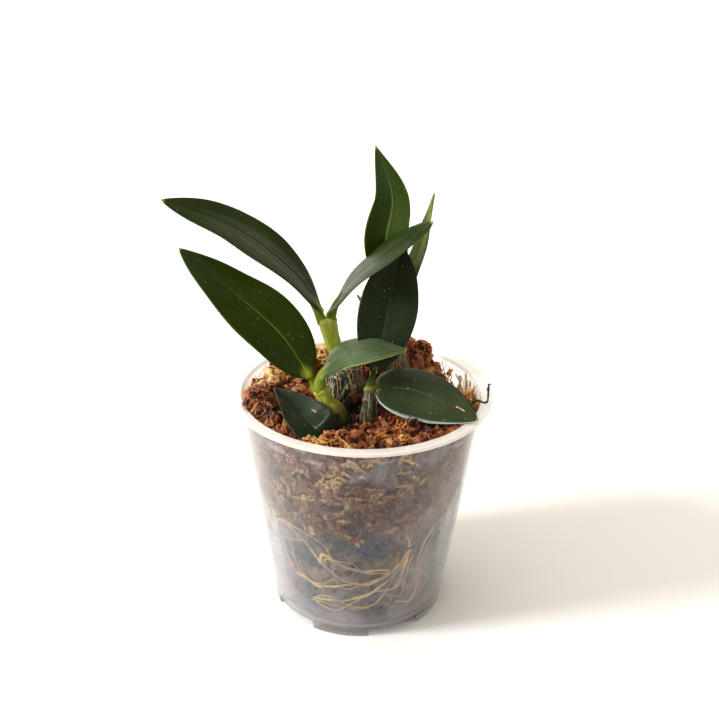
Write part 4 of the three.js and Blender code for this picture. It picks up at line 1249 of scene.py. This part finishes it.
# %% Moss material
# Patches of the bed that differ in the photo: (place in mm, radius in mm, how much lighter or darker).
CLUMP_TONES = [
    ((-32, 7, 81), 9, 0.36), ((-40, -5, 80), 7, 0.42), ((-33, -16, 79), 8, 0.1), ((-15, 18, 84), 9, 0.6),
    ((-12, -33, 80), 6, 0.2), ((-3.5, -27, 79), 4, -0.2), ((8, -28, 79), 5, 0.04),
    ((20, -29, 79), 6, -0.12), ((19.6, 25.6, 89), 9, 0.24), ((28, 11, 85), 7, 0.22),
    ((36.5, -3.6, 80), 7, 0.25), ((-2, -13, 76), 9, -0.3)]
CLUMP_TONES += [(on_wall(*place), 7, tone) for place, _, _, tone in WALL_CLUMPS if tone]
MOSS_STOPS = [(0.0, (8, 4, 3)), (0.22, (50, 19, 8)), (0.4, (118, 46, 16)), (0.55, (158, 80, 28)),
              (0.7, (180, 116, 44)), (0.85, (202, 152, 76)), (1.0, (228, 198, 136))]

tone_tree, given, result = group("Clump tone", "ShaderNodeTree", {"Clumps per metre": 160.0},
                                 {"Value": "NodeSocketFloat"})
own_place = here(tone_tree)
tone = times(tone_tree, mottle(tone_tree, given["Clumps per metre"], 0.35), 0.42)
for place, reach, change in CLUMP_TONES:
    away = node(tone_tree, "ShaderNodeVectorMath", {0: own_place, 1: tuple(np.array(place) * MM + AXIS)},
                operation="DISTANCE").outputs["Value"]
    patch = fade(tone_tree, away, reach * MM * 1.3, reach * MM * 0.5, 0.0, change)
    tone = plus(tone_tree, tone, patch)
tone_tree.links.new(tone, result["Value"])


def clump_tone(tree, clumps=160.0):
    return node(tree, "ShaderNodeGroup", {"Clumps per metre": clumps}, node_tree=tone_tree).outputs[0]


def moss_material(name, value, stops=MOSS_STOPS, wet=0.38, shade=None, glow=0.0):
    def base(tree):
        body = ramp(tree, value(tree), stops)
        return shade(tree, body) if shade else body

    return principled(
        name, base=base, roughness=between(500.0, wet - 0.15, wet + 0.25),
        Normal=bumpy(1300.0, 0.6, 0.0003, 0.6), Specular_IOR_Level=0.4, Coat_Weight=0.15,
        Coat_Roughness=0.2, Subsurface_Weight=glow, Subsurface_Scale=0.0012,
        Subsurface_Radius=(1.0, 0.6, 0.3))


def with_tint(tree):
    own = times(tree, attribute(tree, "tint"), 0.5)
    # Painted shade: bits that lie low on the bed are darker.
    depth = times(tree, maths(tree, "SUBTRACT", attribute(tree, "raised"), 0.5), 0.3)
    grain = fade(tree, mottle(tree, 800.0, 0.6), 0.2, 0.8, -0.2, 0.16)
    return plus(tree, clump_tone(tree), grain, own, depth)


def with_hollow_shade(tree):
    # Painted shade: the bed is darker the lower its relief, in its hollows.
    return plus(tree, clump_tone(tree, 240.0), times(tree, attribute(tree, "raised"), 0.34))


def shaded_side(tree, body):
    """Behind the damp wall the bed looks lilac-grey, browner where it presses on the wall."""
    packed = tones(260.0, (46, 34, 34), (116, 90, 74), 0.5)(tree)
    face = painted(tree, tones(110.0, (100, 98, 106), (164, 144, 146), 0.5)(tree),
                   (height_mask(tree, 68.0, 76.0), srgb(118, 120, 122)),
                   (fade(tree, mottle(tree, 420.0, 0.5), 0.45, 0.9, 0.0, 0.5), srgb(84, 66, 62)),
                   (attribute(tree, "pressed"), packed))
    # Painted shade: low in the pot the bed is dark blue, with paler patches over it.
    below = painted(tree, srgb(36, 54, 76), (attribute(tree, "webbed"), srgb(118, 104, 104)),
                    (fade(tree, mottle(tree, 520.0, 0.6), 0.5, 0.95, 0.0, 0.55), srgb(150, 138, 134)),
                    (specks(tree, 330.0, 0.34, 0.14), srgb(56, 38, 36)),
                    # painted glow round the roots, as seen spread through the milky wall
                    (attribute(tree, "near_root"), srgb(150, 130, 104)),
                    (fade(tree, mottle(tree, 130.0, 0.2), 0.8, 0.95), srgb(84, 58, 48)))
    side = mixed(tree, height_mask(tree, 43.0, 47.0), below, face)
    return mixed(tree, attribute(tree, "side"), body, side)


core_moss = moss_material("moss_core", with_hollow_shade, wet=0.5, shade=shaded_side)
loose_moss = moss_material("moss_loose", with_tint, glow=0.35)


def webbed(points):
    """Where fine pale fibres hang before the shaded bed: least at the middle of the front."""
    degrees = degrees_round(points)
    open_middle = np.exp(-((degrees / 34) ** 2 + ((points[:, 2] - 36) / 11) ** 2) / 2)
    patches = 0.5 * rough(points, 7, 11) + 0.5 * rough(points, 3, 12)
    return smooth_step(patches + 0.4 - 0.75 * open_middle, -0.1, 0.5)


# %% Core of the bed
BED_SIDES = 360
BED_BOTTOM = 5.3
BED_LOW_TOP = 42
BED_LOW_RINGS = 36
BED_FACE_RINGS = 16
BED_TOP_RINGS = 125
UNDER_LEAF = 0.9
# How far the lower part is drawn in from the wall: (height, distance) in mm.
BED_SIDE_TABLE = [(BED_BOTTOM, 4.5), (11, 3.3), (22, 3.1), (32, 3.5), (BED_LOW_TOP, 2.7)]


def bed_ring(radius, z):
    angle = np.arange(BED_SIDES) / BED_SIDES * 2 * math.pi
    radius = np.broadcast_to(radius, angle.shape)
    z = np.broadcast_to(z, angle.shape)
    return np.stack([radius * np.cos(angle), radius * np.sin(angle), z], axis=1)


def lumps(points, scale, seed):
    """Rounded lumps with sharp creases between them, 0 in a crease to about 1."""
    return 2 * np.abs(rough(points, scale, seed))


def joined_mesh(name, endings):
    """One mesh from all pieces so far whose names have one of the endings."""
    mesh = bpy.data.meshes.new(name)
    work = bmesh.new()
    for obj in bpy.context.scene.objects:
        if obj.type == "MESH" and obj.name.endswith(endings):
            work.from_mesh(obj.data)
    work.to_mesh(mesh)
    work.free()
    return mesh


blades = joined_mesh("blades", "_blade")
blade_search = BVHTree.FromPolygons([v.co for v in blades.vertices], [p.vertices for p in blades.polygons])


def room_under_leaves(point):
    """The greatest height at which the bed stays under any leaf that lies over a point."""
    start = Vector(point * [1, 1, 0] * MM + AXIS + [0, 0, 0.06])
    hit, *_ = blade_search.ray_cast(start, Vector((0, 0, 1)), 0.04)
    return hit.z / MM - UNDER_LEAF if hit else math.inf


def bed_core():
    angle = np.arange(BED_SIDES) / BED_SIDES * 2 * math.pi
    edge_radius = inner_radius(POT_HEIGHT)
    edge = moss_height(edge_radius * np.cos(angle), edge_radius * np.sin(angle))
    rings = []
    for z in np.linspace(BED_BOTTOM, BED_LOW_TOP, BED_LOW_RINGS):
        inward = np.interp(z, *zip(*BED_SIDE_TABLE))
        rings.append(bed_ring(inner_radius(z) - 0.7 - inward, z))
    for share in np.linspace(0, 1, BED_FACE_RINGS):
        z = MOSS_FACE_BOTTOM + (edge - 1.5 - MOSS_FACE_BOTTOM) * share
        rings.append(bed_ring(inner_radius(z) - 0.9, z))
    side_rows = len(rings)
    for i in range(BED_TOP_RINGS):
        radius = (inner_radius(edge) - 1.1) * (1 - i / BED_TOP_RINGS) ** 0.85
        rings.append(bed_ring(radius, moss_height(radius * np.cos(angle), radius * np.sin(angle))))
    points = np.vstack(rings)
    outward = unit(points * [1, 1, 0] + 1e-9)
    top = np.arange(len(points)) >= side_rows * BED_SIDES
    relief = 2.6 * lumps(points, 5.5, 9) + 1.5 * lumps(points, 2.6, 4) + 0.7 * lumps(points, 1.2, 5) - 2.7
    points[~top] += outward[~top] * np.minimum(0, relief[~top])[:, None]
    points[top, 2] += relief[top]
    for k in np.flatnonzero(top):
        points[k, 2] = min(points[k, 2], room_under_leaves(points[k]))
    spread = KDTree(len(root_points))
    for k, p in enumerate(root_points):
        spread.insert(p, k)
    spread.balance()
    to_root = np.array([spread.find(p)[2] for p in points])
    # raised also sets the painted shade in the bed's hollows.
    values = {"raised": np.clip((relief + 2.2) / 3.2, 0, 1), "side": 1.0 - top,
              "pressed": smooth_step(pressed(points), -0.15, 0.15),
              "webbed": webbed(points),
              # near_root places a painted glow round the roots.
              "near_root": smooth_step(to_root + rough(points, 4, 3), 5.4, 3.0) * 0.6}
    return points, ring_faces(len(rings), BED_SIDES), side_rows, values


bed_points, bed_faces, bed_side_rows, bed_values = bed_core()
piece("moss_core", bed_points, bed_faces, core_moss, "moss", bed_values)


# %% [markdown]
# ## Loose bits
# Each sort of bit is a handful of seeded shapes of a few dozen faces, in millimetres round the
# origin, before "Scatter" turns, scales and tints its copies. Chips, ribbons and flakes start as a
# thin torn plate, clods, crumbs and scraps as a ball.

# %% Shapes of the loose bits
def ball(subdivisions, radius=1.0):
    """Points and faces of a ball of triangles."""
    work = bmesh.new()
    bmesh.ops.create_icosphere(work, subdivisions=subdivisions, radius=radius)
    points = np.array([v.co for v in work.verts])
    faces = [tuple(v.index for v in f.verts) for f in work.faces]
    work.free()
    return points, faces


def plate(rng, length, width, thickness, bend, rows=4, columns=3):
    """A thin plate with a torn outline, bent by a given amount, as points and faces."""
    twist = rng.uniform(-1, 1) * bend
    top, under = [], []
    for i in range(rows):
        for j in range(columns):
            u, v = i / (rows - 1) - 0.5, j / (columns - 1) - 0.5
            x = length * (u + rng.uniform(-0.27, 0.27) / (rows - 1))
            y = width * (v * (1 - 1.6 * u * u) + rng.uniform(-0.3, 0.3) / (columns - 1))
            z = bend * (4 * (u * u - 0.1) + 3 * v * v + rng.uniform(-0.25, 0.25)) + 3 * twist * u * v
            top.append((x, y, z + thickness / 2))
            under.append((x, y, z - thickness / 2))

    def at(i, j, below=0):
        return below * rows * columns + i * columns + j

    faces = []
    for i in range(rows - 1):
        for j in range(columns - 1):
            faces.append((at(i, j), at(i + 1, j), at(i + 1, j + 1), at(i, j + 1)))
            faces.append((at(i, j, 1), at(i, j + 1, 1), at(i + 1, j + 1, 1), at(i + 1, j, 1)))
    loop = ([(i, 0) for i in range(rows)] + [(rows - 1, j) for j in range(1, columns)]
            + [(i, columns - 1) for i in range(rows - 2, -1, -1)]
            + [(0, j) for j in range(columns - 2, 0, -1)])
    for (a, b), (c, d) in zip(loop, loop[1:] + loop[:1]):
        faces.append((at(a, b), at(a, b, 1), at(c, d, 1), at(c, d)))
    return np.array(top + under), faces


def curled(points, reach, curve):
    """Points wrapped round a line along one axis, so that a flat sheet curls up."""
    turn = points[:, reach] * curve
    lift = points[:, 2].copy()
    points[:, reach] = (1 / curve - lift) * np.sin(turn)
    points[:, 2] = 1 / curve - (1 / curve - lift) * np.cos(turn)
    return points


def chip(rng):
    """A crumpled scrap of leaf, or a curled ribbon, 4 to 8 mm long."""
    ribbon = rng.random() < 0.4
    lengths, widths = ((5, 8), (1, 2)) if ribbon else ((4, 7), (2.4, 4.6))
    points, faces = plate(rng, rng.uniform(*lengths), rng.uniform(*widths), rng.uniform(0.16, 0.3), 0.22,
                          7, 4)
    points[:, 2] += 0.4 * lumps(points * [1, 1, 0], 2.2, rng.uniform(0, 90))
    points = curled(points, 1, rng.choice([-1, 1]) * rng.uniform(0.15, 0.55))
    return curled(points, 0, rng.choice([-1, 1]) * rng.uniform(0.06, 0.26)), faces


def flake(rng):
    """A flake pressed flat against the wall, 2 to 5 mm long, and where its rim is."""
    points, faces = plate(rng, rng.uniform(2.4, 5.4), rng.uniform(0.8, 2.1), 0.12, 0.04, 6, 5)
    rim = [float(i in (0, 5) or j in (0, 4)) for i in range(6) for j in range(5)] * 2
    return points, faces, {"rim": rim}


def thread(rng):
    """A curled strand about 6 mm long."""
    bends = rng.uniform(-1.6, 1.6, (5, 3)) + [[2.0 * k - 4, 0, 0] for k in range(5)]
    bends[:, 2] = np.abs(bends[:, 2]) * 0.8
    girth = rng.uniform(0.12, 0.26)
    points, faces, _ = tube(bends.tolist(), lambda t: girth * (1.1 - 0.7 * t), 4, 9)
    return points, faces


def flat_thread(rng):
    """A strand pressed flat against the wall."""
    points, faces = thread(rng)
    return points * [1, 1, 0.12], faces


def clod(rng):
    """A crumpled lump of moss about 5 mm across."""
    points, faces = ball(3)
    seed = rng.uniform(0, 90)
    reach = 0.5 + 0.4 * lumps(points, 1.0, seed) + 0.7 * (1 - lumps(points, 0.6, seed + 7))
    return points * reach[:, None] * rng.uniform(0.6, 1.4, 3) * 2.1, faces


def crumb(rng):
    """A rounded lump about 1.6 mm across."""
    points, faces = ball(1, 0.8)
    points = points * rng.uniform(0.5, 1.3, (len(points), 1))
    return points * rng.uniform(0.6, 1.4, 3), faces


def bits(name, make, count, seed):
    """A collection of seeded shapes around the origin, in metres."""
    rng = np.random.default_rng(seed)
    collection = bpy.data.collections.new(name)
    for k in range(count):
        points, faces, *values = make(rng)
        made = bare_object(f"{name}_{k:02d}", points - AXIS / MM, faces, *values)
        bpy.context.scene.collection.objects.unlink(made)
        collection.objects.link(made)
    return collection


def skin_of_bed(name, keep):
    """The part of the bed's skin whose quads have all their corners in keep."""
    faces = [f for f in bed_faces if len(f) == 4 and all(keep[k] for k in f)]
    return bare_object(name, bed_points, faces, {"raised": bed_values["raised"]})


BIT_TO_WALL = 0.25


def kept_inside(mesh):
    """Press what would pass through the pot's wall flat against it."""
    places = np.empty(3 * len(mesh.vertices))
    mesh.vertices.foreach_get("co", places)
    points = (places.reshape(-1, 3) - AXIS) / MM
    limit = inner_radius(points[:, 2]) - BIT_TO_WALL
    points[:, :2] *= np.minimum(1, limit / np.hypot(points[:, 0], points[:, 1]))[:, None]
    mesh.vertices.foreach_set("co", (points * MM + AXIS).ravel())
    mesh.update()


def strewn(name, source, shapes, material, slot="moss", **inputs):
    made = grown(name, source, scatter_tree, Shapes=shapes, Material=material, **inputs)
    kept_inside(made.data)
    return finish_piece(made)


clods = bits("clod", clod, 8, 20)
chips = bits("chip", chip, 16, 21)
flakes = bits("flake", flake, 24, 24)
threads = bits("thread", thread, 12, 22)
flat_threads = bits("flat_thread", flat_thread, 12, 25)
crumbs = bits("crumb", crumb, 8, 23)

# %% The plant, as one obstacle that loose bits keep clear of
plant = add_object("plant", joined_mesh("plant", ("_blade", "_skin")))
print("obstacle:", len(plant.data.polygons), "faces")

# %% Strew the top of the bed
rows = np.arange(len(bed_points)) // BED_SIDES
on_top = rows >= bed_side_rows - 1
from_axis = np.hypot(bed_points[:, 0], bed_points[:, 1])
inside = on_top & (from_axis < 37.5)
off_rim = on_top & (from_axis < 40)
strewn("moss_clods", skin_of_bed("top_d", inside), clods, loose_moss, Per_square_metre=9e3, Seed=41,
       Smallest=0.4, Largest=0.85, Tilt=3.0, Sink=0.0008, Obstacle=plant, Clear_by=0.004)
strewn("moss_chips", skin_of_bed("top_a", off_rim), chips, loose_moss, Per_square_metre=1.4e5, Seed=31,
       Smallest=0.45, Largest=1.25, Tilt=0.6, Sink=0.0, Obstacle=plant, Clear_by=0.0032)
strewn("moss_threads", skin_of_bed("top_b", on_top), threads, loose_moss, Per_square_metre=2.5e4, Seed=47,
       Smallest=0.4, Largest=1.0, Tilt=0.6, Obstacle=plant, Clear_by=0.003)
strewn("moss_crumbs", skin_of_bed("top_c", on_top), crumbs, loose_moss, Per_square_metre=4e4, Seed=53,
       Smallest=0.3, Largest=0.9, Tilt=3.0, Obstacle=plant, Clear_by=0.0009)
on_side = (rows < BED_LOW_RINGS - 1) & (rows > 1)
# Darker, greyer stops: painted shade of the bed low in the pot, as on its shaded side.
lower_moss = moss_material("moss_below", with_tint,
                           [(0.0, (58, 52, 54)), (0.5, (112, 92, 82)), (1.0, (160, 142, 124))])
strewn("moss_lower_chips", skin_of_bed("side_a", on_side), chips, lower_moss, Per_square_metre=4e4, Seed=59,
       Smallest=0.3, Largest=0.7, Tilt=0.9, Sink=0.0004)

# %% [markdown]
# ## Larger scraps
# A few crumpled scraps give the bed its outline in the photo, so each has its own row in a table
# instead of a random place. The sheet's folds come from ridged noise on a ball.

# %% Larger crumpled scraps where the photo shows them
# Each scrap: (place across and deep, radii, height over the bed, how light), in mm.
SCRAPS = [((-13.2, -33.8), (4.0, 2.6, 2.7), 1.6, 0.6), ((-9.2, -34.6), (3.2, 2.4, 2.4), 1.4, 0.52),
          ((-16.2, -32.6), (2.4, 1.6, 1.9), 1.6, 0.7), ((-5.6, -34.8), (2.2, 1.8, 1.7), 1.0, 0.4),
          ((-35, -8.5), (3.8, 3.6, 2.6), 0.8, 0.5), ((-37.2, -13.5), (2.3, 3.2, 2.2), 0.8, 0.36),
          ((-31, -15), (3.4, 3.8, 2.4), 0.6, 0.2), ((-31.5, -1), (4.2, 3, 2.2), 0.4, 0.5),
          ((-25, 6), (4.2, 2.8, 2.1), 0.4, 0.6), ((6.5, -32), (3.2, 2.2, 2.0), 0.8, 0.56),
          ((14, -32.5), (3, 2, 1.8), 0.6, 0.66), ((24, -27), (2.8, 2.2, 1.8), 0.6, 0.4),
          ((0.5, -35.4), (2.4, 1.8, 1.7), 0.6, 0.44), ((21, 17), (3.6, 3, 3.6), 1.0, 0.56),
          ((-14, 15), (5, 4, 4.4), 1.4, 0.9), ((-29, -20), (2.8, 2.6, 1.8), 0.5, 0.14)]


def scrap(place, radii, over, light, seed):
    """A crumpled scrap of wet moss resting on the bed."""
    points, faces = ball(5)
    warped = points * [0.55, 1.3, 1.2] + wander(points, 0.5, 0.6, [seed + k for k in range(3)])
    fold = (0.3 * lumps(warped, 0.7, seed) + 0.55 * (1 - lumps(warped, 0.45, seed + 7))
            + 0.2 * (1 - lumps(warped, 0.2, seed)))
    nearest = np.argmin(np.hypot(*(bed_points[on_top][:, :2] - place).T))
    middle = [*place, bed_points[on_top][nearest, 2] + over]
    return points * (0.4 + fold)[:, None] * radii + middle, faces, np.clip(1.9 * fold - 0.7, 0, 1), light


def with_fold_shade(tree):
    """Painted light on the folds of a scrap, painted shade in its creases."""
    depth = times(tree, maths(tree, "SUBTRACT", attribute(tree, "raised"), 0.5), 0.7)
    patches = fade(tree, mottle(tree, 260.0, 0.5), 0.0, 1.0, -0.16, 0.12)
    return plus(tree, attribute(tree, "tint"), plus(tree, depth, patches))


crumpled = [scrap(*row, seed=3.1 * k + 1) for k, row in enumerate(SCRAPS)]
first = np.cumsum([0] + [len(points) for points, *_ in crumpled])
piece("moss_scraps", np.vstack([points for points, *_ in crumpled]),
      [tuple(start + k for k in face) for start, (_, faces, *_) in zip(first, crumpled) for face in faces],
      moss_material("moss_crumpled", with_fold_shade, wet=0.24, glow=0.4),
      attributes={"raised": np.concatenate([raised for *_, raised, _ in crumpled]),
                  "tint": np.concatenate([np.full(len(points), light) for points, *_, light in crumpled])})

# %% [markdown]
# ## Moss against the wall
# What presses on the plastic shows sharply, as flat flakes and threads with a dark line round
# them. "Scatter" lays them on patches of a smooth band just inside the wall, with hardly any tilt.

# %% Press flakes to the wall
WALL_STOPS = [(0.0, (20, 12, 14)), (0.2, (66, 30, 26)), (0.38, (132, 60, 46)), (0.52, (100, 76, 44)),
              (0.66, (146, 110, 72)), (0.82, (168, 136, 92)), (1.0, (206, 178, 134))]
# Pale stops for moss on the bare wall at the back: partly its own tan and partly painted light shining
# through it.
BARE_WALL_STOPS = [(0.0, (204, 156, 100)), (0.5, (238, 206, 154)), (1.0, (254, 242, 216))]
WALL_GAP = 0.4


def wall_value(tree):
    own = times(tree, attribute(tree, "tint"), 0.62)
    grain = fade(tree, mottle(tree, 900.0, 0.5), 0.0, 1.0, -0.24, 0.18)
    return plus(tree, clump_tone(tree, 90.0), plus(tree, own, grain))


def outlined(tree, body):
    """A thin dark line round each flake."""
    return mixed(tree, fade(tree, attribute(tree, "rim"), 0.7, 1.0, 0.0, 0.8), body, srgb(40, 16, 18))


wall_moss = moss_material("moss_at_wall", wall_value, WALL_STOPS, wet=0.3, shade=outlined)
thin_moss = moss_material("moss_on_bare_wall", wall_value, BARE_WALL_STOPS, wet=0.4, glow=0.5)


def wall_patches(name, low, high, cover, behind=False):
    """A smooth band just inside the wall, only where moss presses on it, at the back or elsewhere."""
    heights = np.linspace(low, high, 40)
    points = np.vstack([bed_ring(inner_radius(z) - WALL_GAP, z) for z in heights])
    degrees = degrees_round(points)
    bare = (degrees < -80) & (points[:, 2] > 72)
    keep = (pressed(points) + cover > 0) & ((degrees > 90) == behind) & ~bare
    return bare_object(name, points, [f for f in ring_faces(len(heights), BED_SIDES, caps=False)
                                      if all(keep[k] for k in f)])


strewn("moss_wall_flakes", wall_patches("face", MOSS_FACE_BOTTOM - 3, 79, 0.05), flakes, wall_moss,
       Per_square_metre=2.3e5, Seed=61, Smallest=0.5, Largest=1.5, Tilt=0.03)
strewn("moss_wall_threads", wall_patches("face_b", MOSS_FACE_BOTTOM - 3, 80, 0.28), flat_threads, wall_moss,
       Per_square_metre=1e5, Seed=67, Smallest=0.25, Largest=0.7, Tilt=0.04)
strewn("moss_back_flakes", wall_patches("face_c", 72, 79.5, -0.1, behind=True), flakes, thin_moss,
       Per_square_metre=1.5e5, Seed=73, Smallest=0.5, Largest=1.1, Tilt=0.06)
for collection in (clods, chips, flakes, threads, flat_threads, crumbs):
    for shape in list(collection.objects):
        bpy.data.objects.remove(shape)
    bpy.data.collections.remove(collection)
bpy.data.objects.remove(plant)

# %% [markdown]
# ## Strands, flecks and debris
# Dry strands climb the bare inner wall at the back right, short black flecks stick to the inside of
# the wall, and crumbs of moss lie on the leaves. All are short lines that "Strands" turns into
# uneven tubes.

# %% Strands and flecks on the wall
STRAND_STEPS = 20
FLECK_STEPS = 14
FLECK_RADIUS = 0.24


def climbing_run(rng):
    """A strand of dry moss that climbs the bare inner wall at the back right."""
    start = rng.choice([100.0, 128.0]) + rng.uniform(-9, 9)
    steps = np.cumsum(rng.uniform(-2.4, 2.4, 5)) + start
    heights = np.linspace(73.5, rng.uniform(78, 81.2), 5)
    route = [on_wall(a, z, rng.uniform(0.4, 0.9)) for a, z in zip(steps, heights)]
    return smooth_run(route, rng.uniform(0.14, 0.3) * np.linspace(1.2, 0.5, STRAND_STEPS))


# Each fleck: (degrees to the right of the front, height) at each of its bends.
FLECKS = [
    [(27, 71), (29.5, 69.6)], [(30.5, 67.4), (33.6, 66.6)], [(-47, 73), (-45.6, 71.4)],
    [(-57, 60), (-55, 58.8)], [(12, 69), (13.4, 68.2)], [(41, 56), (43, 57.2)],
    [(-41, 75.8), (-39.7, 73.1), (-37.7, 70.9)], [(-38.8, 74.5), (-38.2, 72.2), (-37.4, 70)],
    [(-0.1, 45.3), (4.6, 44), (8.5, 42.1)], [(9, 41.2), (10.6, 41.5)],
    [(0.6, 39.6), (3.9, 37.4), (5.1, 35.1)], [(26.2, 36.6), (29.2, 37.3), (32.5, 37.4)],
    [(45.6, 31.4), (46.6, 33.3)], [(-34.5, 18.2), (-33.2, 19.2)], [(28.4, 68.9), (30.2, 70.5)],
    [(50, 60), (51, 63)], [(66, 52), (68, 54)], [(-60, 57), (-61, 59)]]
DEBRIS = [
    [(14.9, -14.4, 89.2), (15.5, -13.6, 89.3)],
    [(30.7, -20.5, 86.3), (32, -21.2, 86), (33.5, -22.2, 85.5)],
    [(-16.3, -18.3, 83), (-15.2, -19.4, 83.1), (-14.6, -20.4, 83.1)]]
DEBRIS_RADII = np.array([0.16, 0.24] + 6 * [0.26] + [0.2, 0.12])

wall_rng = np.random.default_rng(71)
# Their pale tan is partly the dry moss's own colour and partly painted light shining through it.
dry_moss = principled("dry_moss", base=tones(300.0, (236, 208, 160), (204, 160, 104)), roughness=0.6,
                      Normal=bumpy(1500.0, 0.4, 0.0002))
strands("wall_strands", [climbing_run(wall_rng) for _ in range(22)], dry_moss, "moss", Sides=5,
        Step=0.0008, Unevenness=0.7, Seed=8)
debris_material = principled("leaf_debris", base=tones(900.0, (206, 176, 136), (150, 112, 84)), roughness=0.6)
strands("leaf_debris", [smooth_run(run, DEBRIS_RADII) for run in DEBRIS], debris_material, "moss", Sides=6,
        Step=0.0003, Unevenness=1.2, Bumps_per_metre=1200.0, Seed=3)
fleck_material = principled("black_fleck", base=tones(500.0, (22, 18, 18), (46, 36, 32)), roughness=0.7)
fleck_runs = [smooth_run([on_wall(*p) for p in run], np.full(FLECK_STEPS, FLECK_RADIUS)) for run in FLECKS]
strands("wall_flecks", fleck_runs, fleck_material, "moss", Sides=5, Step=0.0006, Unevenness=1.6,
        Bumps_per_metre=900.0, Seed=9)

# %% [markdown]
# ## Twig
# A dead black twig lies over the rim at the right. It is one bent line with a few short stubs.

# %% Twig
TWIG = [(36.5, -8, 79.5), (38.5, -9.6, 82.9), (41.8, -11.2, 83.1), (42.8, -7, 84.5), (43, -5, 87)]
twig_material = principled("twig_bark", base=tones(600.0, (38, 30, 26), (82, 62, 50)), roughness=0.85,
                           Normal=bumpy(1200.0, 0.7, 0.0003))
TWIG_STUBS = [
    [(38.4, -9.6, 82.8), (37.6, -11, 83.5), (36.4, -12, 84)], [(41.7, -11.1, 83.1), (41.2, -12.3, 84)],
    [(42.9, -6.4, 85), (42.3, -6.2, 86)], [(43, -5.1, 86.8), (43.8, -5.4, 87.2)]]
twig_runs = [smooth_run(TWIG, np.linspace(0.46, 0.3, 60))]
twig_runs += [smooth_run(stub, np.linspace(0.36, 0.18, 12)) for stub in TWIG_STUBS]
strands("twig_bark", twig_runs, twig_material, "twig_dark", "twig",
        Step=0.0005, Sides=9, Unevenness=1.6, Bumps_per_metre=700.0)

# %% [markdown]
# ## Stage and light
# The plant stands on a white table in a bright room. Low daylight comes from the left, so the pot
# throws a soft, warm grey shadow to the right.

# %% Floor
FLOOR_REACH = 6
floor_mesh = bpy.data.meshes.new("floor")
corners = [(x * FLOOR_REACH, y * FLOOR_REACH, 0) for x, y in ((-1, -1), (1, -1), (1, 1), (-1, 1))]
floor_mesh.from_pydata(corners, [], [(0, 1, 2, 3)])
floor = add_object("floor", floor_mesh)
floor_mesh.materials.append(principled(
    "white_table",
    base=lambda tree: mixed(tree, mottle(tree, 3.0), (0.9, 0.9, 0.9, 1), (0.88, 0.88, 0.88, 1)),
    roughness=0.8))

# %% Daylight
SUN_FROM = (-0.84, -0.2, 0.5)
SUN_POWER = 3.6
SUN_SPREAD = math.radians(14)
SUN_COLOR = (0.95, 0.97, 1.0)
WINDOW_COLOR = (0.94, 0.98, 1.0)
ROOM_COLOR = (1.0, 0.93, 0.81, 1)
BRIGHT_SIDE = (-0.814, 0.356, 0.458)
ROOM_DIM = 0.62
ROOM_BRIGHT = 1.6
WINDOWS = {"window_high": dict(at=(-0.6, 0.78, 0.85), size=0.24, power=1.1),
           "window_low": dict(at=(-0.6, 1.0, 0.3), size=0.3, power=0.5)}


def aimed(name, data, at):
    """A light at a place in metres from the pot, aimed at it."""
    made = add_object(name, data)
    made.location = Vector(at) + Vector(AXIS)
    made.rotation_euler = (-Vector(at)).to_track_quat("-Z", "Y").to_euler()
    return made


sun_data = bpy.data.lights.new("daylight", "SUN")
sun_data.energy = SUN_POWER
sun_data.angle = SUN_SPREAD
sun_data.color = SUN_COLOR
aimed("daylight", sun_data, SUN_FROM)
for name, window in WINDOWS.items():
    data = bpy.data.lights.new(name, "AREA")
    data.size = window["size"]
    data.energy = window["power"]
    data.color = WINDOW_COLOR
    aimed(name, data, window["at"]).visible_diffuse = False

world = bpy.data.worlds.new("room")
bpy.context.scene.world = world
world.use_nodes = True
tree = world.node_tree
background = tree.nodes["Background"]
background.inputs["Color"].default_value = ROOM_COLOR
direction = node(tree, "ShaderNodeTexCoord").outputs["Generated"]
toward = node(tree, "ShaderNodeVectorMath", {0: direction, 1: BRIGHT_SIDE},
              operation="DOT_PRODUCT").outputs["Value"]
tree.links.new(fade(tree, toward, 0.1, 0.8, ROOM_DIM, ROOM_BRIGHT), background.inputs["Strength"])
bpy.context.scene.view_settings.view_transform = "Standard"
bpy.context.scene.view_settings.look = "None"
